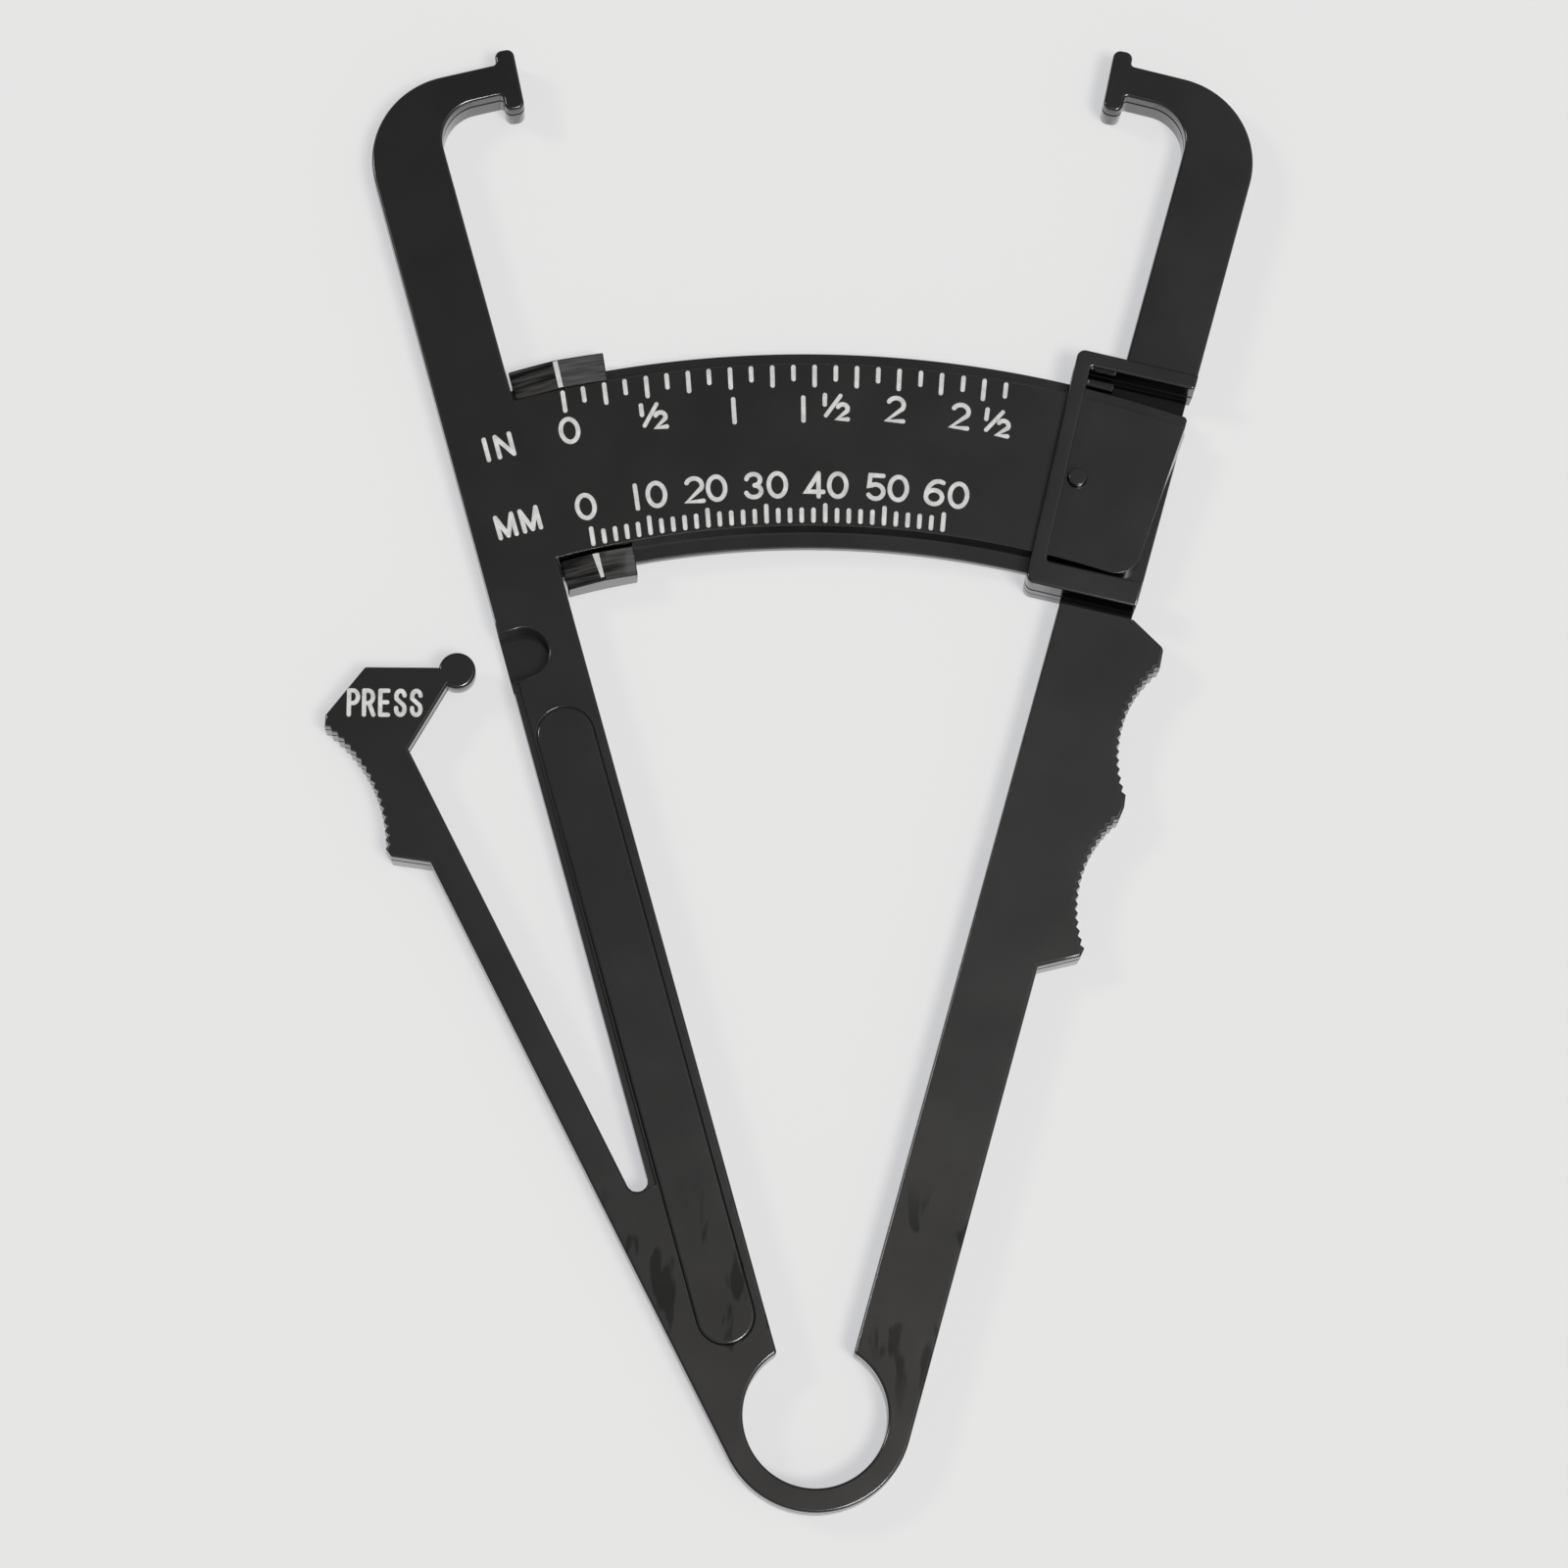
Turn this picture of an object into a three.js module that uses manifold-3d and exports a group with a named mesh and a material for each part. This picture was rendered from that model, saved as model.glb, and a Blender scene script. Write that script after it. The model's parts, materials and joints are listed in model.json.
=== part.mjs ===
// Skinfold caliper: a springy one-piece body with two hooked measuring jaws, a scale arc that
// passes through a guide on the right arm, a thumb lever, and a slider that marks the reading.
// Millimetres and degrees. The layout is drawn about the flex centre, the point where the inner
// edges of both arms meet. +X is to the right, +Y towards the jaws, +Z out of the marked face.
import * as THREE from "three";
import { mergeVertices } from "three/addons/utils/BufferGeometryUtils.js";
import Module from "manifold-3d";

const RAD = Math.PI / 180;

// Body plate and arms
const THICKNESS = 5.5;
const EDGE_BREAK = 0.25; // small chamfer along every moulded edge
const CHORD_ERROR = 0.02; // how far a polygon may stray from a true arc
const ARM_ANGLE = 15.5; // each arm leans this far from the middle line
const LEFT_ARM_WIDTH = 8.9;
const RIGHT_ARM_WIDTH = 8.65;

// Ring spring
const RING_CENTRE_Y = 8.6;
const RING_HOLE_RADIUS = 8.15;
const LIP_ROUNDING = 0.4;
const RING_RADIUS = RIGHT_ARM_WIDTH + RING_CENTRE_Y * Math.sin(ARM_ANGLE * RAD);

// Jaws, a hook on each arm with a T-shaped foot
const HOOK_TOP_DISTANCE = 172.75; // from the flex centre to the right hook's top edge
const LEFT_HOOK_DROP = 0.58; // the left hook sits this much nearer the flex centre
const HOOK_THICKNESS = 3.9;
const HOOK_SLOPE_ANGLE = 14.0;
const HOOK_OUTER_RADIUS = 10.5;
const HOOK_INNER_RADIUS = 4.75;
const FOOT_FILLET = 0.4; // where the hook runs into the foot
const FOOT_DEPTH = 2.35;
const FOOT_ROUNDING = 0.9;
const FACE_ANGLE = 11.85;
const FACE_LENGTH = 7.6;
const FACE_OVERHANG = 1.65; // how far the contact face reaches past the hook's top edge
const FACE_END = HOOK_TOP_DISTANCE + FACE_OVERHANG;
const FACE_START = FACE_END - FACE_LENGTH;

// Scale arc, a band with a lower rim on each side, concentric with the flex centre
const ARC_INNER_RADIUS = 109.6;
const INNER_RIM_WIDTH = 2.15;
const BAND_WIDTH = 19.6;
const OUTER_RIM_WIDTH = 1.85;
const BAND_INNER_RADIUS = ARC_INNER_RADIUS + INNER_RIM_WIDTH;
const BAND_OUTER_RADIUS = BAND_INNER_RADIUS + BAND_WIDTH;
const ARC_OUTER_RADIUS = BAND_OUTER_RADIUS + OUTER_RIM_WIDTH;
const ARC_UNDERSIDE = 2.2;
const RIM_TOP = 3.4;
const ARC_END_ANGLE = 19.3; // of the band; the rims run on to the right arm's outer edge
const ARC_END_PROUD = 0.15; // the rims stand this far past that edge
const ARC_ROOT_ANGLE = -17.5; // inside the left arm
const ARC_END_ROUNDING = 3.0;
const ARC_END_SMALL_ROUNDING = 0.5;
const BOSS_RADIUS = 1.05;
const BOSS_HEIGHT = 0.9;
const BOSS_SHIFT = 0.25; // out from the middle of the band
const BOSS_DISTANCE = BAND_INNER_RADIUS + BAND_WIDTH / 2 + BOSS_SHIFT;

// Raised marks. A row fits the angle that the jaws turn through for an opening measured at its
// reading distance, close to the near end of the contact faces.
const MARK_WIDTH = 0.38;
const MARK_HEIGHT = 0.12;
const MARK_ROOT = 0.5; // how deep a mark is fused with the band
const MARK_LEAN_SHARE = 0.68; // the marks lean less than the radius they stand on
const INCH_ZERO_ANGLE = -12.96;
const INCH_STEP = 25.4 / 8;
const INCH_STEPS = 21;
const INCH_READING_SHIFT = 1.3;
const INCH_READING_DISTANCE = FACE_START + INCH_READING_SHIFT;
const INCH_ROW_INSET = 0.15;
const INCH_LONG_MARK = 2.75;
const INCH_SHORT_MARK = 2.0;
const MM_ZERO_ANGLE = -13.17;
const MM_STEP = 2;
const MM_STEPS = 30;
const MM_READING_SHIFT = -0.9;
const MM_READING_DISTANCE = FACE_START + MM_READING_SHIFT;
const MM_ROW_INSET = 0.3;
const MM_LONG_MARK = 2.4;
const MM_SHORT_MARK = 1.85;

// Guide on the right arm, drawn in its own frame: u outwards along its left edge, v to the right
const SLIDE_GAP = 0.3; // clearance round the scale arc, in the guide and in the slider
const GUIDE_ANGLE = 13.1;
const GUIDE_INNER_MARGIN = 1.9; // from the guide's lower edge to the scale arc
const GUIDE_OUTER_MARGIN = 3.45;
const GUIDE_START = ARC_INNER_RADIUS - GUIDE_INNER_MARGIN;
const GUIDE_END = ARC_OUTER_RADIUS + GUIDE_OUTER_MARGIN;
const BAR_THICKNESS = 1.1;
const GUIDE_TOP = THICKNESS + SLIDE_GAP + BAR_THICKNESS;
const GUIDE_ROUNDING = 0.95;
const LEFT_BAR_WIDTH = 1.85;
const LOWER_BAR_WIDTH = 3.3;
const UPPER_BAR_WIDTH = 1.8;
const BACK_PLATE_TOP = ARC_UNDERSIDE - SLIDE_GAP;
const BACK_PLATE_INSET = 0.45; // from the right arm's outer edge
const GUIDE_BLOCK_LENGTH = 3.2;
const GUIDE_BLOCK_DEPTH = 1.2;
const GUIDE_BLOCK_RISE = 0.8; // above the rims
const ARM_GROOVE_WIDTH = 1.25;
const ARM_GROOVE_DEPTH = 2.5;

// Finger grip on the right arm, just under the guide: two toothed scallops between three crests
const SHOULDER_LENGTH = 3.1; // from the guide to the first crest, along the arm
const CREST_OFFSET = 13.1; // from the arm's inner edge
const FIRST_CREST_LENGTH = 2.2;
const MIDDLE_CREST_LENGTH = 2.8;
const LAST_CREST_LENGTH = 1.0;
const CREST_ROUNDING = 0.8;
const SCALLOP_RADIUS = 14.3;
const SCALLOP_DEPTH = 2.4;
const GRIP_FOOT_LENGTH = 2.5;
const TOOTH_PITCH = 1.05;
const TOOTH_DEPTH = 0.35;

// Thumb lever, a thin beam that carries the thumb pad
const LEVER_ANGLE = 26.8;
const LEVER_INNER_OFFSET = 3.45;
const LEVER_OUTER_OFFSET = RING_RADIUS - RING_CENTRE_Y * Math.sin(LEVER_ANGLE * RAD);
const CROTCH_RADIUS = 1.2;
const PAD_FOOT_AT = 83.7; // from the flex centre, along the lever
const BEAM_CUT_MARGIN = 0.7; // the beam is parted from the pad this far below the foot
const PAD_FOOT_LENGTH = 2.6;
const PAD_CREST_OFFSET = 10.8;
const PAD_SCALLOP_RADIUS = 18.2;
const PAD_SCALLOP_DEPTH = 1.9;
const PAD_SCALLOP_RISE = 11.8; // from the foot to the scallop's middle
const PAD_CORNER_LENGTH = 1.1; // from the scallop's far end to the pad's outer corner
const PAD_TIP_RISE = 3.1; // from there to the tip, along the lever
const PAD_TIP_OFFSET = 3.7;
const PAD_CORNER_ROUNDING = 0.5;
const PAD_NECK_RISE = 13.1; // from the foot to where the inner edge turns off to the disc
const DISC_RISE = 18.96;
const DISC_OFFSET = -5.6;
const DISC_RADIUS = 2.14;
const DISC_NECK_WIDTH = 2.3;

// Pressed, the lever turns about this point until the disc lies in the pocket of the left arm.
const PRESS_PIVOT_AT = 46.4;
const PRESS_PIVOT_OFFSET = 0.85;
const PRESS_ANGLE = 8.17;
const POCKET_CLEARANCE = 0.7;
const POCKET_RADIUS = DISC_RADIUS + POCKET_CLEARANCE;
const POCKET_FLOOR = 2.6;
const POCKET_MOUTH_UP = 3.1; // the mouth's two sides on the arm's outer edge, from the centre
const POCKET_MOUTH_DOWN = 3.5;
const DISC_SEAT_GAP = 0.3;
const DISC_UNDERSIDE = POCKET_FLOOR + DISC_SEAT_GAP;

// Ledge and panel on the left arm
const LEDGE_WIDTH = 0.75;
const LEDGE_DEPTH = 0.6;
const LEDGE_START = 38.0;
const LEDGE_END = 98.6;
const PANEL_RADIUS = 3.3;
const PANEL_OFFSET = 4.5;
const PANEL_START = 21.7;
const PANEL_END = 91.1;
const PANEL_HEIGHT = 0.35;
const SMALL_EDGE_BREAK = 0.15; // on the panel and the boss

// Slider: a plate behind the scale arc with a hook over each rim
const SLIDER_INNER_WALL = 1.4;
const SLIDER_OUTER_WALL = 1.7;
const SLIDER_INNER_RADIUS = ARC_INNER_RADIUS - SLIDE_GAP - SLIDER_INNER_WALL;
const SLIDER_OUTER_RADIUS = ARC_OUTER_RADIUS + SLIDE_GAP + SLIDER_OUTER_WALL;
const SLIDER_UNDERSIDE = 0.8;
const SLIDER_PLATE_TOP = ARC_UNDERSIDE - SLIDE_GAP;
const TAB_THICKNESS = 1.2;
const TAB_TOP = RIM_TOP + SLIDE_GAP + TAB_THICKNESS;
const SLIDER_RIGHT_ANGLE_OUT = -10.55;
const SLIDER_RIGHT_ANGLE_IN = -10.95;
const SLIDER_INDEX_ANGLE = -12.95;
const SLIDER_FACET_SLOPE = 5.0;

// Cutting shapes reach this far past the part.
const FAR = 2 * HOOK_TOP_DISTANCE;

const wasm = await Module();
wasm.setup();

// Drawing helpers

// The point at distance s along a ray that leans by angle from +Y, then off to its right.
function along(angle, s, off = 0) {
  const c = Math.cos(angle * RAD);
  const n = Math.sin(angle * RAD);
  return [s * n + off * c, s * c - off * n];
}

const leftArm = (s, off) => along(-ARM_ANGLE, s, -off);
const rightArm = (s, off) => along(ARM_ANGLE, s, off);
const lever = (s, off) => along(-LEVER_ANGLE, s, -off);
const guide = (u, v) => along(GUIDE_ANGLE, u, v);
const mirror = ([x, y, r]) => [-x, y, r];

// Where the line through a and b crosses the line through c and d.
function crossing(a, b, c, d) {
  const p = [b[0] - a[0], b[1] - a[1]];
  const q = [d[0] - c[0], d[1] - c[1]];
  const t = ((c[0] - a[0]) * q[1] - (c[1] - a[1]) * q[0]) / (p[0] * q[1] - p[1] * q[0]);
  return [a[0] + t * p[0], a[1] + t * p[1]];
}

// Points of an arc from angle a0 to a1, in degrees anticlockwise from +X.
function arc([cx, cy], r, a0, a1) {
  const step = 2 * Math.acos(1 - CHORD_ERROR / r);
  const count = Math.max(2, Math.ceil(Math.abs(a1 - a0) * RAD / step));
  const points = [];
  for (let i = 0; i <= count; i++) {
    const a = (a0 + ((a1 - a0) * i) / count) * RAD;
    points.push([cx + r * Math.cos(a), cy + r * Math.sin(a)]);
  }
  return points;
}

const circle = (centre, r) => arc(centre, r, 0, 360).slice(0, -1);

// An arc cut into teeth: points stand alternately inside and outside the true radius.
function toothedArc([cx, cy], r, a0, a1) {
  const teeth = Math.round((Math.abs(a1 - a0) * RAD * r) / TOOTH_PITCH);
  const points = [];
  for (let i = 0; i <= 2 * teeth; i++) {
    const a = (a0 + ((a1 - a0) * i) / (2 * teeth)) * RAD;
    const rr = r + (i % 2 ? 1 : -1) * (TOOTH_DEPTH / 2);
    points.push([cx + rr * Math.cos(a), cy + rr * Math.sin(a)]);
  }
  return points;
}

// Direction from a centre to a point, in degrees anticlockwise from +X.
const heading = ([cx, cy], [x, y]) => Math.atan2(y - cy, x - cx) / RAD;

// The point q turned clockwise about the point p.
function turned([px, py], [qx, qy], angle) {
  const c = Math.cos(angle * RAD);
  const n = Math.sin(angle * RAD);
  return [px + (qx - px) * c + (qy - py) * n, py - (qx - px) * n + (qy - py) * c];
}

// A closed outline from corners [x, y, radius]: every corner with a radius is rounded.
function rounded(corners) {
  const points = [];
  corners.forEach((corner, i) => {
    const [x, y, r] = corner;
    if (!r) return points.push([x, y]);
    const before = corners[(i + corners.length - 1) % corners.length];
    const after = corners[(i + 1) % corners.length];
    const a = new THREE.Vector2(before[0] - x, before[1] - y).normalize();
    const b = new THREE.Vector2(after[0] - x, after[1] - y).normalize();
    const half = Math.acos(THREE.MathUtils.clamp(a.dot(b), -1, 1)) / 2;
    const middle = a.clone().add(b).normalize().multiplyScalar(r / Math.sin(half));
    const centre = [x + middle.x, y + middle.y];
    const cut = r / Math.tan(half);
    const start = heading(centre, [x + a.x * cut, y + a.y * cut]);
    let turn = heading(centre, [x + b.x * cut, y + b.y * cut]) - start;
    turn -= 360 * Math.round(turn / 360);
    points.push(...arc(centre, r, start, start + turn));
  });
  return points;
}

// Solids

function solidOf(geometry) {
  const g = geometry.clone();
  g.deleteAttribute("normal");
  g.deleteAttribute("uv");
  const merged = mergeVertices(g, 1e-4);
  return new wasm.Manifold(
    new wasm.Mesh({
      numProp: 3,
      vertProperties: merged.attributes.position.array,
      triVerts: new Uint32Array(merged.index.array),
    }),
  );
}

// An outline pulled up from z0 to z1, with its edges broken by a chamfer of the given size.
function plate(points, z0, z1, edge = 0) {
  const shape = new THREE.Shape(points.map(([x, y]) => new THREE.Vector2(x, y)));
  const g = new THREE.ExtrudeGeometry(shape, {
    depth: z1 - z0 - 2 * edge,
    bevelEnabled: edge > 0,
    bevelThickness: edge,
    bevelSize: edge,
    bevelOffset: -edge,
    bevelSegments: 1,
    steps: 1,
  });
  return solidOf(g.translate(0, 0, z0 + edge));
}

function block([x0, y0, z0], [x1, y1, z1]) {
  const g = new THREE.BoxGeometry(x1 - x0, y1 - y0, z1 - z0);
  return solidOf(g.translate((x0 + x1) / 2, (y0 + y1) / 2, (z0 + z1) / 2));
}

// As plate, but only the upper edge is broken.
function cappedPlate(points, z0, z1, edge = EDGE_BREAK) {
  const below = block([-FAR, -FAR, z0 - 2 * edge], [FAR, FAR, z0]);
  return plate(points, z0 - edge, z1, edge).subtract(below);
}

const unite = (solids) => solids.reduce((a, b) => a.add(b));

// A closed ring sector about the flex centre, angles measured from +Y.
const sector = (r0, r1, a0, a1) => [
  ...arc([0, 0], r0, 90 - a0, 90 - a1),
  ...arc([0, 0], r1, 90 - a1, 90 - a0),
];

// Outline of the body: arms, jaws, ring and lever as one closed curve

// Corners of a right-hand hook and jaw foot, from the arm's inner edge round to its outer edge.
function hook(armWidth, drop) {
  const face = (s, depth) => along(FACE_ANGLE, s - drop, depth);
  const edge = (distance, off) => along(HOOK_SLOPE_ANGLE, distance - drop, off);
  const back = [face(FACE_START, FOOT_DEPTH), face(FACE_END, FOOT_DEPTH)];
  const underside = HOOK_TOP_DISTANCE - HOOK_THICKNESS;
  const under = [edge(underside, 0), edge(underside, 1)];
  const top = [edge(HOOK_TOP_DISTANCE, 0), edge(HOOK_TOP_DISTANCE, 1)];
  return [
    [...crossing(rightArm(0, 0), rightArm(1, 0), ...under), HOOK_INNER_RADIUS],
    [...crossing(...back, ...under), FOOT_FILLET],
    [...back[0], FOOT_ROUNDING],
    [...face(FACE_START, 0), FOOT_ROUNDING],
    [...face(FACE_END, 0), FOOT_ROUNDING],
    [...back[1], FOOT_ROUNDING],
    [...crossing(...back, ...top), FOOT_FILLET],
    [...crossing(rightArm(0, armWidth), rightArm(1, armWidth), ...top), HOOK_OUTER_RADIUS],
  ];
}

const ringCentre = [0, RING_CENTRE_Y];
const rightLip = (() => {
  const c = Math.cos(ARM_ANGLE * RAD) * RING_CENTRE_Y;
  const d = Math.sin(ARM_ANGLE * RAD) * RING_CENTRE_Y;
  return rightArm(c + Math.sqrt(RING_HOLE_RADIUS ** 2 - d ** 2), 0);
})();
const lipHeading = heading(ringCentre, rightLip);
const lipCut = (2 * LIP_ROUNDING) / RING_HOLE_RADIUS / RAD; // kept free for the rounded lip
const holeArc = arc(
  ringCentre,
  RING_HOLE_RADIUS,
  180 - lipHeading + lipCut,
  360 + lipHeading - lipCut,
);

// A toothed scallop sunk into an edge that runs at the crests' offset. place maps (s, offset)
// to a point; s falls along the right arm and rises along the lever, as the outline does.
function scallop(place, s, floor, crest, radius, direction) {
  const halfChord = Math.sqrt(radius ** 2 - (floor + radius - crest) ** 2);
  const centre = place(s, floor + radius);
  const from = heading(centre, place(s - direction * halfChord, crest));
  let turn = heading(centre, place(s + direction * halfChord, crest)) - from;
  turn -= 360 * Math.round(turn / 360);
  return { points: toothedArc(centre, radius, from, from + turn), halfChord };
}

// Finger grip, followed down the outer edge of the right arm.
const firstCrest = GUIDE_START - SHOULDER_LENGTH;
const scallopAt = (s) =>
  scallop(rightArm, s, CREST_OFFSET - SCALLOP_DEPTH, CREST_OFFSET, SCALLOP_RADIUS, -1);
const { halfChord } = scallopAt(firstCrest);
const upperScallopAt = firstCrest - FIRST_CREST_LENGTH - halfChord;
const middleCrest = upperScallopAt - halfChord;
const lowerScallopAt = middleCrest - MIDDLE_CREST_LENGTH - halfChord;
const lastCrest = lowerScallopAt - halfChord;
const fingerGrip = [
  ...rounded([
    [...rightArm(GUIDE_START, RIGHT_ARM_WIDTH), 0],
    [...rightArm(firstCrest, CREST_OFFSET), CREST_ROUNDING],
    [...rightArm(firstCrest - FIRST_CREST_LENGTH, CREST_OFFSET), 0],
  ]).slice(0, -1),
  ...scallopAt(upperScallopAt).points,
  rightArm(middleCrest - MIDDLE_CREST_LENGTH / 2, CREST_OFFSET + TOOTH_DEPTH),
  ...scallopAt(lowerScallopAt).points,
  ...rounded([
    [...rightArm(lastCrest, CREST_OFFSET), 0],
    [...rightArm(lastCrest - LAST_CREST_LENGTH, CREST_OFFSET), CREST_ROUNDING / 2],
    [...rightArm(lastCrest - LAST_CREST_LENGTH - GRIP_FOOT_LENGTH, RIGHT_ARM_WIDTH), 0],
  ]).slice(1),
];

// Thumb pad, followed from the lever's outer edge round to its inner edge.
const padScallopAt = PAD_FOOT_AT + PAD_SCALLOP_RISE;
const padScallop = scallop(
  lever,
  padScallopAt,
  PAD_CREST_OFFSET - PAD_SCALLOP_DEPTH,
  PAD_CREST_OFFSET,
  PAD_SCALLOP_RADIUS,
  1,
);
const padCorner = padScallopAt + padScallop.halfChord + PAD_CORNER_LENGTH;
const padNeck = PAD_FOOT_AT + PAD_NECK_RISE;
const discCentre = lever(PAD_FOOT_AT + DISC_RISE, DISC_OFFSET);
const thumbPad = [
  lever(PAD_FOOT_AT, LEVER_OUTER_OFFSET),
  lever(PAD_FOOT_AT + PAD_FOOT_LENGTH, PAD_CREST_OFFSET),
  ...padScallop.points,
  ...rounded([
    [...lever(padCorner - PAD_CORNER_LENGTH, PAD_CREST_OFFSET), 0],
    [...lever(padCorner, PAD_CREST_OFFSET - PAD_CORNER_ROUNDING), PAD_CORNER_ROUNDING],
    [...lever(padCorner + PAD_TIP_RISE, PAD_TIP_OFFSET), PAD_CORNER_ROUNDING],
    [discCentre[0] - DISC_RADIUS / 2, discCentre[1] + DISC_NECK_WIDTH / 6, 0],
    [discCentre[0] - DISC_RADIUS / 3, discCentre[1] - DISC_NECK_WIDTH / 2, 0],
    [...lever(padNeck, LEVER_INNER_OFFSET), 0],
    [...lever(PAD_FOOT_AT, LEVER_INNER_OFFSET), 0],
  ]).slice(1, -1),
];

const crotchCentre = crossing(
  lever(0, LEVER_INNER_OFFSET - CROTCH_RADIUS),
  lever(1, LEVER_INNER_OFFSET - CROTCH_RADIUS),
  leftArm(0, LEFT_ARM_WIDTH + CROTCH_RADIUS),
  leftArm(1, LEFT_ARM_WIDTH + CROTCH_RADIUS),
);

const bodyOutline = [
  ...rounded([
    [...holeArc.at(-1), 0],
    [...rightLip, LIP_ROUNDING],
    ...hook(RIGHT_ARM_WIDTH, 0),
    [...rightArm(GUIDE_START, RIGHT_ARM_WIDTH), 0],
  ]).slice(1, -1),
  ...fingerGrip,
  ...arc(ringCentre, RING_RADIUS, -ARM_ANGLE, -180 + LEVER_ANGLE),
  ...thumbPad,
  ...arc(crotchCentre, CROTCH_RADIUS, 180 + LEVER_ANGLE, 360 + ARM_ANGLE),
  ...rounded([
    [...leftArm(ARC_INNER_RADIUS, LEFT_ARM_WIDTH), 0],
    ...hook(LEFT_ARM_WIDTH, LEFT_HOOK_DROP).map(mirror).reverse(),
    [...mirror(rightLip), LIP_ROUNDING],
    [...holeArc[0], 0],
  ]).slice(1, -1),
  ...holeArc,
];

// The whole moulding before it is parted into members

// The rims or the band of the scale arc: two radii, the angle at which each one ends, and the
// rounding of the free end's lower corner.
function arcPlate([r0, end0], [r1, end1], rounding, top) {
  const shortOf = (radius, end, r) => 90 - end + (1.4 * r) / radius / RAD;
  return plate(
    rounded([
      ...arc([0, 0], r0, 90 - ARC_ROOT_ANGLE, shortOf(r0, end0, rounding)),
      [...along(end0, r0), rounding],
      [...along(end1, r1), ARC_END_SMALL_ROUNDING],
      ...arc([0, 0], r1, shortOf(r1, end1, ARC_END_SMALL_ROUNDING), 90 - ARC_ROOT_ANGLE),
    ]),
    ARC_UNDERSIDE,
    top,
  );
}
const rim = (radius) => [
  radius,
  ARM_ANGLE + Math.asin((RIGHT_ARM_WIDTH + ARC_END_PROUD) / radius) / RAD,
];
const band = (radius) => [radius, ARC_END_ANGLE];
const arcBlank = unite([
  arcPlate(rim(ARC_INNER_RADIUS), rim(ARC_OUTER_RADIUS), ARC_END_SMALL_ROUNDING, RIM_TOP),
  arcPlate(band(BAND_INNER_RADIUS), band(BAND_OUTER_RADIUS), ARC_END_ROUNDING, THICKNESS),
]);

// One raised mark, pill shaped, whose foot stands on the given radius.
function mark(angle, foot, length) {
  const lean = angle * MARK_LEAN_SHARE;
  const base = along(angle, foot);
  const at = (s, off) => {
    const [dx, dy] = along(lean, s, off);
    return [base[0] + dx, base[1] + dy];
  };
  const h = MARK_WIDTH / 2;
  return plate(
    [at(h, -h), at(0, 0), at(h, h), at(length - h, h), at(length, 0), at(length - h, -h)],
    THICKNESS - MARK_ROOT,
    THICKNESS + MARK_HEIGHT,
  );
}

// The angle that the jaws turn through to open this far at a distance from the flex centre.
const openingAngle = (opening, distance) => (2 * Math.asin(opening / 2 / distance)) / RAD;

const marks = [];
for (let i = 0; i <= INCH_STEPS; i++) {
  const angle = INCH_ZERO_ANGLE + openingAngle(i * INCH_STEP, INCH_READING_DISTANCE);
  const length = i % 2 ? INCH_SHORT_MARK : INCH_LONG_MARK;
  marks.push(mark(angle, BAND_OUTER_RADIUS - INCH_ROW_INSET - length, length));
}
for (let i = 0; i <= MM_STEPS; i++) {
  const angle = MM_ZERO_ANGLE + openingAngle(i * MM_STEP, MM_READING_DISTANCE);
  const length = i % 5 ? MM_SHORT_MARK : MM_LONG_MARK;
  marks.push(mark(angle, BAND_INNER_RADIUS + MM_ROW_INSET, length));
}

const bossCentre = guide(BOSS_DISTANCE, LEFT_BAR_WIDTH + SLIDE_GAP + BOSS_RADIUS);
const boss = plate(
  circle(bossCentre, BOSS_RADIUS),
  RIM_TOP + MARK_ROOT,
  THICKNESS + BOSS_HEIGHT,
  SMALL_EDGE_BREAK,
);

const panelEnds = [leftArm(PANEL_START, PANEL_OFFSET), leftArm(PANEL_END, PANEL_OFFSET)];
const panel = plate(
  [
    ...arc(panelEnds[1], PANEL_RADIUS, ARM_ANGLE, 180 + ARM_ANGLE),
    ...arc(panelEnds[0], PANEL_RADIUS, 180 + ARM_ANGLE, 360 + ARM_ANGLE),
  ],
  THICKNESS - MARK_ROOT,
  THICKNESS + PANEL_HEIGHT,
  SMALL_EDGE_BREAK,
);

// The pocket opens through the arm's outer edge, where the disc comes in.
const pressPivot = lever(PRESS_PIVOT_AT, PRESS_PIVOT_OFFSET);
const pocketCentre = turned(pressPivot, discCentre, PRESS_ANGLE);
const fromPocket = (s, off) => {
  const [dx, dy] = leftArm(s, off);
  return [pocketCentre[0] + dx, pocketCentre[1] + dy];
};
const mouthOffset = POCKET_RADIUS + CROTCH_RADIUS;
const pocket = plate(
  [
    ...arc(pocketCentre, POCKET_RADIUS, ARM_ANGLE - 90, ARM_ANGLE + 90),
    fromPocket(POCKET_MOUTH_UP, mouthOffset),
    fromPocket(-POCKET_MOUTH_DOWN, mouthOffset),
    fromPocket(-POCKET_MOUTH_DOWN, mouthOffset - POCKET_RADIUS),
  ],
  POCKET_FLOOR,
  2 * THICKNESS,
);

const ledge = plate(
  [
    leftArm(LEDGE_START, LEFT_ARM_WIDTH - LEDGE_WIDTH),
    leftArm(LEDGE_END, LEFT_ARM_WIDTH - LEDGE_WIDTH),
    leftArm(LEDGE_END, LEFT_ARM_WIDTH + CROTCH_RADIUS),
    leftArm(LEDGE_START, LEFT_ARM_WIDTH + CROTCH_RADIUS),
  ],
  THICKNESS - LEDGE_DEPTH,
  2 * THICKNESS,
);

const disc = plate(circle(discCentre, DISC_RADIUS), DISC_UNDERSIDE, THICKNESS, EDGE_BREAK);
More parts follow.
